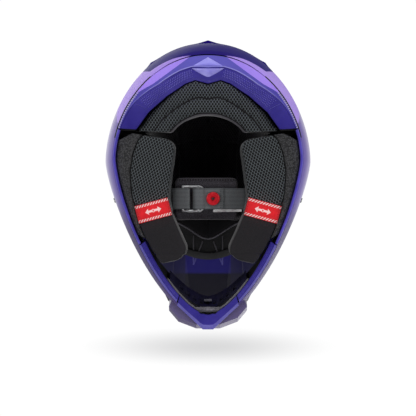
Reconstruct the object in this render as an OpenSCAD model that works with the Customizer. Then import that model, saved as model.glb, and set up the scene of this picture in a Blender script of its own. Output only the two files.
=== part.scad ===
// Motocross helmet: shell, liners, cheek pads, strap with D-rings, and a tilting visor.
// The face looks along -Y, the wearer's left is +X, and the neck opening faces down.

/* [Shell] */
// Width of the shell at its widest line
shell_w = 249; // [225:1:270]
// From the widest line forward to the tip of the chin
front_len = 199; // [180:1:215]
// From the widest line back to the rear point
rear_len = 151; // [140:1:165]
// Height of the crown
crown_h = 262; // [240:1:285]
// Thickness of the shell's skin
shell_t = 3.5; // [2.5:0.5:4.5]
// How far the bottom edge rises at the rear
rear_lift = 16; // [8:1:22]
// How far the bottom edge rises at the chin
chin_lift = 22; // [12:1:28]

/* [Eye port] */
// Height of the eye port's lower edge at the front
port_low = 84; // [78:1:90]
// Height of the eye port's upper edge at the front
port_high = 172; // [164:1:178]
// Width of the rubber seal inside the port's edge
seal_w = 3; // [2:0.5:4]

/* [Liners] */
// Half width of the hollow in the crown foam
cavity_w = 82; // [76:1:88]
// Height of the hollow's top
cavity_h = 232; // [222:1:238]
// Thickness of the comfort liner
liner_t = 8; // [5:1:10]
// Thickness of the foam in the chin bar
chin_foam_t = 9; // [7:1:10]

/* [Cheek pads] */
// Height of the pads' underside above the ground
pad_z = 4; // [3.6:0.2:8]
// Height of the pads' top
pad_top = 92; // [80:1:96]
// Gap between the fabric pad and its foam base
pad_gap = 0.4; // [0.3:0.1:1]
// Length of a pull tab
tab_len = 40; // [30:1:44]
// Width of a pull tab
tab_w = 21; // [15:1:24]

/* [Strap] */
// Width of the webbing
strap_w = 25; // [20:1:26]
// Thickness of the webbing
strap_t = 1.6; // [1.2:0.1:1.8]
// Where the strap crosses, measured forward of the middle
strap_y = 21; // [17:1:24]
// Diameter of the D-rings' wire
wire_d = 3; // [2.5:0.1:3.2]
// Radius of the snap's red cap
snap_r = 8; // [7:0.5:8.5]

/* [Visor] */
// Height of the visor's pivot
pivot_z = 172; // [168:1:174]
// Radius of a visor ear
ear_r = 11; // [10:0.5:13]
// Thickness of a visor ear
ear_t = 3; // [2.5:0.5:3.5]
// Thickness of the visor's skin
visor_t = 2.5; // [2:0.5:3]
// Reach of the visor's front corners
visor_reach = 152; // [140:1:160]
// Half width of the visor's front edge
visor_front_w = 50; // [42:1:56]
// Radius of the visor screws' shanks
screw_r = 3; // [2.5:0.5:3.5]

/* [Hidden] */

$fn = 40;
gap = 0.3; // clearance between neighbouring pieces
half_w = shell_w / 2;
mid_y = (front_len - rear_len) / 2; // the widest line, with the length centred on the origin
trim_h = 6; // height of the bottom trims
sides = 40; // points round the shell
// Shell outline by height: height, half width, forward length and rear length as shares of
// the driving sizes, and how pointed the chin is, from 1 (a point) to 0 (an ellipse)
levels = [
    [0, 0.888, 0.958, 0.812, 1], [0.084, 0.928, 0.984, 0.872, 1], [0.172, 0.964, 0.985, 0.915, 1],
    [0.286, 0.992, 0.935, 0.945, 1], [0.42, 1, 0.84, 0.955, 0.9], [0.534, 0.976, 0.7, 0.945, 0.7],
    [0.641, 0.915, 0.6, 0.9, 0.45], [0.744, 0.825, 0.575, 0.825, 0.25],
    [0.84, 0.7, 0.505, 0.71, 0.1], [0.916, 0.55, 0.4, 0.56, 0], [0.969, 0.36, 0.265, 0.365, 0],
    [1, 0, 0, 0, 0], [0.969, -0.36, -0.265, -0.365, 0]
];
crown = len(levels) - 2; // place of the crown in the list above
cheek_rear = 55; // the cheek pads' rear end
cheek_front = 78; // where the foam bases end, forward of the middle
pocket_h = 98; // height of the pocket that takes the cheek pads

function mix(a, b, t) = a + (b - a) * t;
function smooth(t) = let (k = min(1, max(0, t))) k * k * (3 - 2 * k);
function spline(a, b, c, d, t) =
    0.5 * (2 * b + (c - a) * t + (2 * a - 5 * b + 4 * c - d) * t * t
        + (3 * b - a - 3 * c + d) * t * t * t);
// One row of the outline at place s in the list of levels
function level(s) =
    let (i = min(crown - 1, floor(s)), a = levels[max(0, i - 1)])
    spline(a, levels[i], levels[i + 1], levels[i + 2], s - i);
// How far the bottom edge is lifted at y
function lift(y) = y > 0 ? rear_lift * smooth((y - 58) / 90) : chin_lift * smooth((-y - 62) / 112);
// A share of a size, less an inset that fades out towards the crown
function inset(share, size, d) = share * size - d * min(1, 3 * share);
// A point of the outline of row r, at angle a, set in by d
function outline(r, a, d) =
    let (
        c = cos(a), s = sin(a), front = s < 0, k = r[4],
        wide = front ? 1 + 0.26 * k : 1 - 0.04 * k,
        long = front ? 1 + 0.43 * k : 1 + 0.11 * k,
        reach = front ? inset(r[2], front_len, d) : inset(r[3], rear_len, d)
    )
    [sign(c) * inset(r[1], half_w, d) * pow(abs(c), wide), mid_y + sign(s) * reach * pow(abs(s), long)];
// The same point on the shell, with its height
function shell_point(s, a, d) =
    let (r = level(s), p = outline(r, a, d), z = r[0] * (crown_h - d))
    [p[0], p[1], z + lift(p[1]) * max(0, 1 - z / 90)];
// Half width of the shell at y and at place s, set in by d
function shell_x(s, y, d) =
    let (r = level(s), k = r[4], t = (mid_y - y) / inset(r[2], front_len, d))
    inset(r[1], half_w, d) * pow(1 - pow(t, 2 / (1 + 0.43 * k)), (1 + 0.26 * k) / 2);

// Closed solid through rings of points, each with as many points as the next
module rings(list) {
    n = len(list[0]);
    m = len(list);
    share = [for (p = list[0]) 1 / n];
    middle_low = share * list[0];
    middle_top = share * list[m - 1];
    polyhedron(
        points = concat([for (ring = list) each ring], [middle_low, middle_top]),
        faces = concat(
            [for (j = [0:m - 2], i = [0:n - 1]) [j * n + i, (j + 1) * n + i, j * n + (i + 1) % n]],
            [for (j = [0:m - 2], i = [0:n - 1])
                [j * n + (i + 1) % n, (j + 1) * n + i, (j + 1) * n + (i + 1) % n]],
            [for (i = [0:n - 1]) [m * n, i, (i + 1) % n]],
            [for (i = [0:n - 1]) [m * n + 1, (m - 1) * n + (i + 1) % n, (m - 1) * n + i]]
        ),
        convexity = 8
    );
}

// The shell's form set in by d. Its foot lies "rise" above the bottom edge, or it starts at place
// s0 if that is given, and "drop" carries the foot straight down
module shell_form(d, s0 = 0, drop = 0, rise = 6.3) {
    places = [for (s = [s0 > 0 ? s0 : 0.62, 1, 1.5, 2, 2.5, 3, 3.5, 4, 4.5, 5, 5.5, 6, 6.5, 7, 7.5,
        8, 8.5, 9, 9.5, 10, 10.35, 10.7, 10.93]) if (s >= s0) s];
    body = [for (s = places) [for (i = [0:sides - 1]) shell_point(s, i * 360 / sides, d)]];
    foot = [for (i = [0:sides - 1])
        let (p = outline(level(0.28), i * 360 / sides, d)) [p[0], p[1], rise + lift(p[1]) - drop]];
    rings(s0 > 0 ? body : concat([foot], body));
}

// The hollow for the head, set in by d
module cavity_form(d) {
    rise = [0, 0.25, 0.5, 0.68, 0.8, 0.89, 0.95, 0.985, 1];
    rings([for (h = rise) let (k = sqrt(max(0.0004, 1 - pow(max(0, (h - 0.4) / 0.6), 2.3))))
        [for (i = [0:sides - 1]) let (a = i * 360 / sides) [
            (cavity_w - d) * k * cos(a),
            22 + (96 - d) * k * sin(a),
            h * (cavity_h - d)
        ]]]);
}

// Side view of the eye port, grown by d
module port_side(d) {
    offset(r = 12 + d) offset(delta = -12)
        polygon([
            [-260, port_low], [-50, port_low + 6], [-26, port_low + 22],
            [-31, port_high - 34], [-56, port_high - 3], [-260, port_high]
        ]);
}
module port_cut(d) {
    rotate([90, 0, 90]) linear_extrude(shell_w + 20, center = true) port_side(d);
}

// A run of the bottom edge: four corners swept from angle a0 to a1
module edge_band(a0, a1, steps, inner, h0, h1) {
    foot = level(0);
    rings([for (i = [0:steps]) let (
            a = mix(a0, a1, i / steps),
            p = outline(foot, a, 0),
            q = inner(a),
            z = lift(p[1]),
            zq = lift(q[1])
        )
        [[p[0], p[1], z + h0], [q[0], q[1], zq + h0], [q[0], q[1], zq + h1], [p[0], p[1], z + h1]]]);
}

// Inner edge of the rear trim, from the middle (share 0) to its ends (share 1)
rear_edge = [[0, [0, 113]], [0.15, [15, 117]], [0.27, [26, 113]], [0.5, [48, 98]],
    [0.75, [69, 79]], [1, [83.5, 58.5]]];
function edge_at(f) =
    [lookup(f, [for (e = rear_edge) [e[0], e[1][0]]]), lookup(f, [for (e = rear_edge) [e[0], e[1][1]]])];
rear_a = 19; // angle at which the rear trim ends
front_a = -39.5; // angle at which the front trims begin
chin_a = -65.5; // angle at which the chin piece begins
trim_in = 9.5; // width of the front trims
rear_inner = function(a) let (f = (90 - a) / (90 - rear_a), e = edge_at(abs(f))) [sign(f) * e[0], e[1]];
front_inner = function(a) outline(level(0), a, trim_in);
seal_inner = function(a) outline(level(0), a, shell_t);

// A piece drawn for the wearer's left (side 1), or mirrored for the right (side -1)
module on_side(side) { scale([side, 1, 1]) children(); }

// ---- shell and trims ----
// resize([0, 0, 0]) leaves a solid's size alone: it only has the cut or joined curved solids
// under it worked out as one mesh.
module strap_holes(r) {
    for (side = [-1, 1]) anchor_place(side) translate([-6, 0, -rivet_drop])
        rotate([0, 90, 0]) cylinder(r = r, h = 22);
}
module boss_holes(r) {
    for (side = [-1, 1]) translate([side * half_w, pivot_y, pivot_z]) rotate([0, 90, 0])
        cylinder(r = r, h = 50, center = true);
    top_place() translate([0, 0, 80]) cylinder(r = r, h = 30);
}
module outer_shell() {
    color("#6a5fc8") resize([0, 0, 0]) difference() {
        shell_form(0);
        shell_form(shell_t, drop = 60);
        port_cut(0);
        strap_holes(rivet_r + gap);
        boss_holes(boss_r + gap);
        mouth_cut(gap);
    }
}
module rear_spoiler() {
    color("#31228c") resize([0, 0, 0]) intersection() {
        difference() {
            hull() {
                translate([0, 0, 108]) linear_extrude(8) spoiler_plan(0);
                translate([0, 0, 76]) linear_extrude(1) spoiler_plan(13);
                translate([0, 0, 168]) linear_extrude(1) spoiler_plan(13);
            }
            shell_form(-gap, drop = 60);
        }
        translate([-90, 118, 0]) cube([180, 90, 200]);
    }
}
module spoiler_plan(d) {
    offset(delta = -d) polygon([[0, 175.5], [43, 161.5], [71, 147], [80, 132], [60, 60], [-60, 60],
        [-80, 132], [-71, 147], [-43, 161.5]]);
}
module bottom_trim_rear() {
    color("#4d4598") edge_band(rear_a + 0.5, 179.5 - rear_a, 36, rear_inner, 0, trim_h);
}
module bottom_trim_front(side) {
    color("#463e92") on_side(side) edge_band(chin_a + 0.2, front_a, 12, front_inner, 0, trim_h);
}
module bottom_trim_chin() {
    color("#3f3891") edge_band(-180 - chin_a + 0.2, chin_a - 0.2, 12, front_inner, 0, trim_h);
}
module edge_seal(side) {
    color("#5c50b8") on_side(side) edge_band(front_a + 0.4, rear_a, 18, seal_inner, 0, trim_h);
}
module eye_port_seal() {
    color("#1c1c1e") resize([0, 0, 0]) intersection() {
        difference() { shell_form(-1); shell_form(shell_t + 2); }
        difference() { port_cut(-0.15); port_cut(-seal_w); }
        translate([-half_w, -200, 0]) cube([shell_w, 190, 200]);
    }
}

// ---- liners ----
module pocket(d, h) {
    linear_extrude(h) intersection() {
        polygon([for (a = [-180:6:180]) outline(level(0), a, shell_t + d)]);
        translate([-half_w, -cheek_front - 90]) square([shell_w, cheek_front + 90 + cheek_rear + 3]);
    }
}
module crown_foam() {
    color("#2e2e30") resize([0, 0, 0]) difference() {
        shell_form(shell_t + gap, rise = trim_h + 2 * gap);
        cavity_form(0);
        pocket(gap, pocket_h);
        translate([0, 0, -1]) linear_extrude(38) rear_plan(-1);
        port_cut(2);
        translate([-half_w, -260, -1]) cube([shell_w, 260 - cheek_front - 1, port_high - 10]);
        translate([-half_w, -80, -1]) cube([shell_w, 138, 26]);
        for (side = [-1, 1]) {
            strap_slot(side);
            anchor_place(side) translate([-14, -13, -18]) cube([22, 26, 22]);
        }
        boss_holes(boss_r + gap);
    }
}
module rear_plan(d) {
    polygon(concat(
        [for (f = [-1:0.1:1]) let (e = edge_at(abs(f))) [sign(f) * (e[0] - d), e[1] - d]],
        [[83.5 - d, 20], [-83.5 + d, 20]]
    ));
}
module chin_foam() {
    color("#353538") resize([0, 0, 0]) intersection() {
        difference() {
            shell_form(shell_t + gap, rise = trim_h + 2 * gap);
            shell_form(shell_t + gap + chin_foam_t, drop = 60);
            port_cut(2);
            mouth_cut(gap + 3);
        }
        translate([-half_w, -260, 0]) cube([shell_w, 260 - cheek_front - 2, port_low + 10]);
    }
}
module crown_liner() {
    color("#26262a") resize([0, 0, 0]) difference() {
        cavity_form(gap);
        cavity_form(liner_t);
        port_cut(4);
        translate([-half_w, -200, -1]) cube([shell_w, 202 + cheek_rear, pocket_h + 6]);
        translate([-half_w, -200, -1]) cube([shell_w, 400, 40]);
        translate([-half_w, -200, 60]) cube([shell_w, 150, port_high - 68]);
    }
}
module neck_roll() {
    color("#303236") resize([0, 0, 0]) difference() {
        translate([0, 0, 11]) linear_extrude(25) rear_plan(0.5);
        translate([0, 38, 0]) scale([1, 0.8, 1]) cylinder(r = 47, h = 60, $fn = 48);
        translate([-half_w, -40, 0]) cube([shell_w, 40 + cheek_rear + 1, 60]);
    }
}
module chin_felt() {
    inset = shell_t + 2 * gap + chin_foam_t;
    color("#1a1a1c") resize([0, 0, 0]) intersection() {
        difference() {
            shell_form(inset, 0.5);
            shell_form(inset + 1.6, drop = 60);
            port_cut(2);
        }
        translate([-46, -200, 32]) cube([92, 98, 30]);
    }
}
module chin_louvre() {
    inset = shell_t + 2 * gap + chin_foam_t;
    color("#1d1a48") resize([0, 0, 0]) intersection() {
        difference() {
            shell_form(inset, 0.5);
            shell_form(inset + 3, drop = 60);
            port_cut(2);
            for (x = [-32:8:32]) if (abs(x) > 6) translate([x - 2, -200, 68]) cube([4, 120, 8]);
        }
        translate([-46, -200, 62.5]) cube([92, 98, 30]);
    }
}
module louvre_clip() {
    color("#8a8a90") translate([-4.5, louvre_y, 68]) difference() {
        cube([9, 2.5, 7]);
        for (x = [2.2, 6.8]) translate([x, -1, 3.5]) rotate([-90, 0, 0]) cylinder(r = 1, h = 5);
    }
}
louvre_y = mid_y - inset(level(3)[2], front_len, shell_t + 2 * gap + chin_foam_t + 3) + 6 * gap;

// ---- cheek pads ----
// Boundary between a pad's fabric and its foam base, from the rear to the front
pad_split = [[76, 53], [81, 47], [87, 32], [90.5, 10], [89, -14], [84, -36], [77, -58], [68, -77]];
// The fabric pad's other corners, from the front round to the rear
pad_rim = [[59, -90], [54, -97], [36, -93], [26, -86], [25, -77], [33, -60], [41.5, -40],
    [45.5, -19], [43, 9], [39, 36], [40, 43], [46, 48]];
module cheek_pad(side) {
    color("#26282b") on_side(side) difference() {
        translate([0, 0, pad_z]) linear_extrude(pad_top - pad_z) polygon(concat(pad_split, pad_rim));
        pad_cuts();
    }
}
module cheek_foam(side) {
    base = level(0);
    color("#3a3a3a") on_side(side) difference() {
        translate([0, 0, pad_z]) linear_extrude(pad_top - pad_z) polygon(concat(
            [for (p = pad_split) if (p[1] > -70) [p[0] + pad_gap, p[1]]],
            [[72.6, -68]],
            [for (a = [-36:7:13]) outline(base, a, shell_t + 2 * gap)],
            [[88, cheek_rear]]
        ));
        pad_cuts();
    }
}
module pad_cuts() {
    rotate([90, 0, 90]) linear_extrude(half_w) polygon([
        [-300, port_low - 4], [-45, port_low - 4], [-24, port_low + 10], [-24, 300], [-300, 300]]);
    strap_slot(1);
}
module pull_tab(side) {
    color("#d61f2d") on_side(side) translate([63.5, -35, pad_z - 1.4]) rotate([0, 0, -15])
        translate([-tab_len / 2, -tab_w / 2, 0]) cube([tab_len, tab_w, 1]);
}

// ---- strap ----
anchor_s = 3.05; // place of the anchors in the list of levels
anchor_z = 79; // height of the anchors
anchor_turn = 18; // how far the anchors turn to follow the shell
rivet_r = 3; // radius of the rivets that hold the anchors
rivet_drop = 9; // how far the rivets lie below the anchors' bend
anchor_w = 20; // width of an anchor plate
anchor_t = 1.8; // thickness of an anchor plate
anchor_x = shell_x(anchor_s, -strap_y, shell_t) - 2.4;
snap_x = -6; // middle of the snap
loop_x = 27.5; // middle of the D-rings' straight bars
ring_z = 39.3; // height between the two rings' straight bars
// The webbing's path in the XZ plane from the chin up to the anchor
strap_side = [[44, 43.4], [46.5, 47], [56, 76], [63, 82], [anchor_x - 16, 84], [anchor_x - 6, 84]];
module anchor_place(side) {
    translate([side * anchor_x, -strap_y, anchor_z + 7])
        rotate([0, 0, side > 0 ? -anchor_turn : 180 + anchor_turn])
        children();
}
// Points of a flat strip of thickness t along a path in the XZ plane
function direction(path, i) =
    let (a = path[max(0, i - 1)], b = path[min(len(path) - 1, i + 1)], v = b - a) v / norm(v);
function strip(path, t) = concat(
    [for (i = [0:len(path) - 1]) let (v = direction(path, i)) path[i] + [-v[1], v[0]] * t / 2],
    [for (i = [len(path) - 1:-1:0]) let (v = direction(path, i)) path[i] - [-v[1], v[0]] * t / 2]
);
module webbing(path) {
    translate([0, -strap_y, 0]) rotate([90, 0, 0]) linear_extrude(strap_w, center = true)
        polygon(strip(path, strap_t));
}
module snap_hole(r) { translate([snap_x, -strap_y, 0]) cylinder(r = r, h = 60); }
// Room for the strap on its way up to the anchor
module strap_slot(side) {
    on_side(side) translate([0, -strap_y, 0]) rotate([90, 0, 0])
        linear_extrude(strap_w + 5, center = true)
        polygon([[20, 40], [44.5, 40.5], [48.8, 46.5], [58.5, 74.5], [64, 80.2], [half_w, 80.2],
            [half_w, 110], [20, 110]]);
}
module strap_left() {
    color("#464849") webbing(concat([for (i = [len(strap_side) - 1:-1:0]) strap_side[i]],
        [[37, 44], [24, 44], [22, 42.6], [22, 36.2], [24, 34.6], [36, 34.6], [41, 38]]));
}
module strap_right() {
    color("#464849") difference() {
        webbing(concat([for (i = [len(strap_side) - 1:-1:0]) [-strap_side[i][0], strap_side[i][1]]],
            [[-38, 42], [-24, 38.8], [0.3, 38.8], [1.5, 43.8], [5, 45.2], [14.5, 45.2], [17.3, 42.5],
            [17.3, 34.5], [14.5, 31.4], [8.5, 31.4], [5.4, 33], [2.6, 36.4], [-18, 36.4]]));
        snap_hole(2.7);
    }
}
module strap_sleeve() {
    color("#2c2d30") translate([2, -strap_y, 46.3]) linear_extrude(7) offset(r = 8) offset(delta = -8)
        square([74, 2 * strap_w], center = true);
}
module d_ring(x, z) {
    half = strap_w / 2 + gap + wire_d / 2; // half the ring's width, to the middle of its wire
    reach = 20.3; // from the straight bar to the far side
    bend = 6;
    r = wire_d / 2;
    color("#7d8184") translate([x, -strap_y, z]) {
        rotate([90, 0, 0]) cylinder(r = r, h = 2 * half, center = true);
        for (side = [-1, 1]) {
            translate([0, side * half, 0]) sphere(r = r);
            translate([0, side * half, 0]) rotate([0, -90, 0]) cylinder(r = r, h = reach - bend);
            translate([bend - reach, side * (half - bend), 0]) rotate([0, 0, side > 0 ? 90 : 180])
                rotate_extrude(angle = 90) translate([bend, 0]) circle(r = r);
        }
        translate([-reach, 0, 0]) rotate([90, 0, 0]) cylinder(r = r, h = 2 * (half - bend), center = true);
    }
}
module d_ring_upper() { d_ring(loop_x - 2.2, ring_z + 1.75); }
module d_ring_lower() { d_ring(loop_x + 2.3, ring_z - 1.75); }
module snap_cap() {
    color("#db1c29") translate([snap_x, -strap_y, 0]) {
        difference() {
            translate([0, 0, 32.4]) cylinder(r = snap_r, h = 2.9);
            translate([0, 0, 32]) cylinder(r = 2.6, h = 1.6);
        }
        translate([0, 0, 35.2]) cylinder(r = 2.4, h = 4.6);
    }
}
module snap_socket() {
    color("#8a8d90") translate([snap_x, -strap_y, 0]) difference() {
        translate([0, 0, 39.9]) cylinder(r = 5, h = 2.6);
        translate([0, 0, 39]) cylinder(r = 1.4, h = 5);
    }
}
module strap_anchor(side) {
    color("#9a9da0") difference() {
        anchor_place(side) {
            translate([-13, -anchor_w / 2, -anchor_t / 2]) cube([13.4, anchor_w, anchor_t]);
            translate([0.4 - anchor_t, -anchor_w / 2, -15]) cube([anchor_t, anchor_w, 15]);
        }
        strap_holes(rivet_r + 0.2);
    }
}
module anchor_rivets() {
    color("#8a8d90") for (side = [-1, 1]) anchor_place(side) translate([0, 0, -rivet_drop])
        rotate([0, 90, 0]) {
        translate([0, 0, -2.6]) cylinder(r = rivet_r, h = 9.4);
        translate([0, 0, -3.2]) cylinder(r = rivet_r + 2, h = 1.5);
    }
}

// ---- mouthpiece ----
mouth_half_w = 22; // half width of the air hole
mouth_z = 44; // height of the hole's lower edge
mouth_h = 22; // height of the hole
module mouth_cut(d) {
    translate([-mouth_half_w - d, -front_len, mouth_z - d])
        cube([2 * (mouth_half_w + d), 70, mouth_h + 2 * d]);
}
module mouthpiece() {
    tip = mid_y - front_len;
    color("#5a4fb4") resize([0, 0, 0]) difference() {
        hull() for (k = [[30, 6], [40, 0.5], [60, 2], [80, 18]])
            translate([0, k[1], k[0]]) linear_extrude(0.5)
                polygon([[14, tip], [35, tip + 8], [46, tip + 21], [30, tip + 60], [-30, tip + 60],
                    [-46, tip + 21], [-35, tip + 8], [-14, tip]]);
        shell_form(-gap, drop = 60);
        mouth_cut(0);
    }
}
module mouthpiece_grille() {
    color("#1e1e20") translate([0.5 - mouth_half_w, mid_y - 0.975 * front_len, mouth_z + 0.5]) difference() {
        cube([2 * mouth_half_w - 1, 2, mouth_h - 1]);
        for (x = [4:7:36], z = [3:6:15]) translate([x - 2, -1, z]) cube([5, 4, 4]);
    }
}

// ---- visor ----
pivot_y = 5; // place of the visor's pivot, towards the rear
boss_r = 9; // radius of the threaded bosses in the foam
ear_x = half_w - 0.5 - ear_t - 3.5; // inner face of the ears
sweep_low = -6; // the visor's lowest and highest angle
sweep_high = 12;
tongue_r = 98.6; // inner radius of the tongue about the pivot
screw_turn = 14; // how far the top screw leans forward of straight up
module about_pivot(a) { translate([0, pivot_y, pivot_z]) rotate([a, 0, 0]) children(); }
module top_place() { about_pivot(screw_turn) children(); }
module visor_hull(d) {
    hull() {
        for (side = [-1, 1]) {
            translate([side * (ear_x + ear_t - d), pivot_y, pivot_z]) rotate([0, -side * 90, 0])
                cylinder(r = ear_r - d, h = 2, $fn = 32);
            translate([side * (visor_front_w - d), -visor_reach + d, 244 - d]) sphere(r = 3, $fn = 16);
            translate([side * (visor_front_w - 8 - d), -visor_reach + d, 234]) sphere(r = 3, $fn = 16);
            translate([side * (24 - d), -visor_reach - 14 + d, 247 - d]) sphere(r = 3, $fn = 16);
            translate([side * (40 - d), -14, 268 - d]) sphere(r = 3, $fn = 16);
            translate([side * (96 - d), -10, 222 - d]) sphere(r = 3, $fn = 16);
        }
    }
}
module visor() {
    color("#4a3fae") resize([0, 0, 0]) difference() {
        visor_hull(0);
        visor_hull(visor_t);
        translate([0, 0, -12]) visor_hull(visor_t);
        translate([0, 12, -26]) visor_hull(visor_t);
        for (a = [sweep_low - 1:3:sweep_high + 3]) about_pivot(a) translate([0, -pivot_y, -pivot_z])
            shell_form(-1.2, 2);
        for (side = [-1, 1]) translate([side * half_w, pivot_y, pivot_z]) rotate([0, 90, 0])
            cylinder(r = ear_r + gap, h = 20, center = true);
        about_pivot(0) rotate([0, 90, 0]) cylinder(r = tongue_r + 3.2, h = 25, center = true);
        about_pivot(0) rotate([0, -90, 0]) rotate([0, 0, -screw_turn - sweep_high - 6])
            tongue_arc(sweep_high - sweep_low + 40, 17, tongue_r - 2, tongue_r + 14);
        translate([-half_w, -9, pivot_z + ear_r + 3]) cube([shell_w, 90, 150]);
        translate([-half_w, pivot_y, 100]) cube([shell_w, 90, 150]);
    }
}
module visor_ear(side) {
    color("#3a3196") translate([side * ear_x, pivot_y, pivot_z]) rotate([0, side * 90, 0]) difference() {
        cylinder(r = ear_r, h = ear_t);
        translate([0, 0, -1]) cylinder(r = screw_r + 0.08, h = ear_t + 2);
    }
}
module visor_tongue() {
    color("#3a3196") about_pivot(0) rotate([0, -90, 0]) difference() {
        rotate([0, 0, -38]) tongue_arc(36, 24, tongue_r, tongue_r + 2.6);
        rotate([0, 0, -screw_turn - sweep_high - 2.5])
            tongue_arc(sweep_high - sweep_low + 5, 2 * screw_r + 0.6, tongue_r - 2, tongue_r + 5);
    }
}
// A piece of a tube about the pivot axis, w wide, reaching over an angle
module tongue_arc(angle, w, r0, r1) {
    rotate_extrude(angle = angle) translate([r0, -w / 2]) square([r1 - r0, w]);
}
module visor_screw(side) {
    color("#1c1c1e") translate([side * (ear_x - 8), pivot_y, pivot_z]) rotate([0, side * 90, 0]) {
        cylinder(r = screw_r, h = 8 + ear_t + gap);
        difference() {
            translate([0, 0, 8 + ear_t + gap]) cylinder(r = 7.5, h = 3);
            translate([-5, -0.8, 8 + ear_t + gap + 1.8]) cube([10, 1.6, 2]);
        }
    }
}
module visor_boss(side) {
    color("#b09a55") translate([side * (ear_x - 12), pivot_y, pivot_z])
        rotate([0, side * 90, 0]) difference() {
        cylinder(r = boss_r, h = 12 - gap);
        translate([0, 0, 3]) cylinder(r = screw_r + 0.05, h = 12);
    }
}
module top_boss() {
    color("#b09a55") top_place() difference() {
        translate([0, 0, 84]) cylinder(r = boss_r, h = tongue_r - 84.8);
        translate([0, 0, 87]) cylinder(r = screw_r + 0.05, h = 30);
    }
}
module top_screw() {
    color("#1c1c1e") top_place() {
        translate([0, 0, 88]) cylinder(r = screw_r, h = tongue_r + 2.6 + gap - 88);
        difference() {
            translate([0, 0, tongue_r + 2.6 + gap]) cylinder(r = 7.5, h = 3);
            translate([-5, -0.8, tongue_r + 5]) cube([10, 1.6, 2]);
        }
    }
}
module exhaust_vents() {
    color("#2b2b30") resize([0, 0, 0]) difference() {
        for (side = [-1, 1]) hull() {
            translate([side * 40, 52, 244]) sphere(r = 9, $fn = 16);
            translate([side * 52, 92, 224]) sphere(r = 12, $fn = 16);
            translate([side * 36, 80, 236]) sphere(r = 9, $fn = 16);
        }
        shell_form(-gap, 2);
        for (side = [-1, 1]) hull() {
            translate([side * 47, 92, 230]) sphere(r = 6, $fn = 16);
            translate([side * 60, 130, 222]) sphere(r = 8, $fn = 16);
        }
    }
}

outer_shell();
rear_spoiler();
bottom_trim_rear();
bottom_trim_front(1);  // bottom_trim_front_left
bottom_trim_front(-1);  // bottom_trim_front_right
bottom_trim_chin();
edge_seal(1);  // edge_seal_left
edge_seal(-1);  // edge_seal_right
crown_foam();
chin_foam();
crown_liner();
neck_roll();
cheek_pad(1);  // cheek_pad_left
cheek_pad(-1);  // cheek_pad_right
cheek_foam(1);  // cheek_foam_left
cheek_foam(-1);  // cheek_foam_right
pull_tab(1);  // pull_tab_left
pull_tab(-1);  // pull_tab_right
eye_port_seal();
chin_felt();
chin_louvre();
louvre_clip();
mouthpiece();
mouthpiece_grille();
strap_left();
strap_right();
strap_sleeve();
d_ring_upper();
d_ring_lower();
snap_cap();
snap_socket();
strap_anchor(1);  // strap_anchor_left
strap_anchor(-1);  // strap_anchor_right
anchor_rivets();
visor();
visor_ear(1);  // visor_ear_left
visor_ear(-1);  // visor_ear_right
visor_tongue();
visor_screw(1);  // visor_screw_left
visor_screw(-1);  // visor_screw_right
visor_boss(1);  // visor_boss_left
visor_boss(-1);  // visor_boss_right
top_boss();
top_screw();
exhaust_vents();
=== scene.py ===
import bpy, bmesh, math
import numpy as np
from mathutils import Vector, Matrix, noise


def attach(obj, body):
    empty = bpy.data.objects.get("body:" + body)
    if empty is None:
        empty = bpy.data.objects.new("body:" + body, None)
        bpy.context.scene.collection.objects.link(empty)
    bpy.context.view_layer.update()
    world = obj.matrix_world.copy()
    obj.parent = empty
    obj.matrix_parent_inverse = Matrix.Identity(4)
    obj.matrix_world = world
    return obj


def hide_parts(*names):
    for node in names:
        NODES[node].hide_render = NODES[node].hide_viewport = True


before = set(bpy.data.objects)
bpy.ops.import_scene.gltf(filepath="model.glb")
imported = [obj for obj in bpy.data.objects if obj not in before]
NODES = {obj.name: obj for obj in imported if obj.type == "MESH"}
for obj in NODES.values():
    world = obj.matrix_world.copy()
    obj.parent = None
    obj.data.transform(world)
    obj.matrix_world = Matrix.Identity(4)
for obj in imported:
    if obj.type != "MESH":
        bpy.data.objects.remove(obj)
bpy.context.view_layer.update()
MM = 0.001

# ---------------------------------------------------------------- shell form, in mm as in the CAD
SHELL_W, FRONT_LEN, REAR_LEN, CROWN_H, SHELL_T = 249.0, 199.0, 151.0, 262.0, 3.5
REAR_LIFT, CHIN_LIFT = 16.0, 22.0
HALF_W, MID_Y = SHELL_W / 2, (FRONT_LEN - REAR_LEN) / 2
LEVELS = np.array([
    [0, 0.888, 0.958, 0.812, 1], [0.084, 0.928, 0.984, 0.872, 1], [0.172, 0.964, 0.985, 0.915, 1],
    [0.286, 0.992, 0.935, 0.945, 1], [0.42, 1, 0.84, 0.955, 0.9], [0.534, 0.976, 0.7, 0.945, 0.7],
    [0.641, 0.915, 0.6, 0.9, 0.45], [0.744, 0.825, 0.575, 0.825, 0.25],
    [0.84, 0.7, 0.505, 0.71, 0.1], [0.916, 0.55, 0.4, 0.56, 0], [0.969, 0.36, 0.265, 0.365, 0],
    [1, 0, 0, 0, 0], [0.969, -0.36, -0.265, -0.365, 0]])


def mix(a, b, t):
    return a + (b - a) * t


def smooth(t):
    k = min(1.0, max(0.0, t))
    return k * k * (3 - 2 * k)


def spline(a, b, c, d, t):
    return 0.5 * (2 * b + (c - a) * t + (2 * a - 5 * b + 4 * c - d) * t * t
                  + (3 * b - a - 3 * c + d) * t ** 3)


def level(s):
    i = min(10, int(s))
    return spline(LEVELS[max(0, i - 1)], LEVELS[i], LEVELS[i + 1], LEVELS[i + 2], s - i)


def lift(y):
    return REAR_LIFT * smooth((y - 58) / 90) if y > 0 else CHIN_LIFT * smooth((-y - 62) / 112)


def inset(share, size, d):
    return share * size - d * min(1.0, 3 * share)


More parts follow.
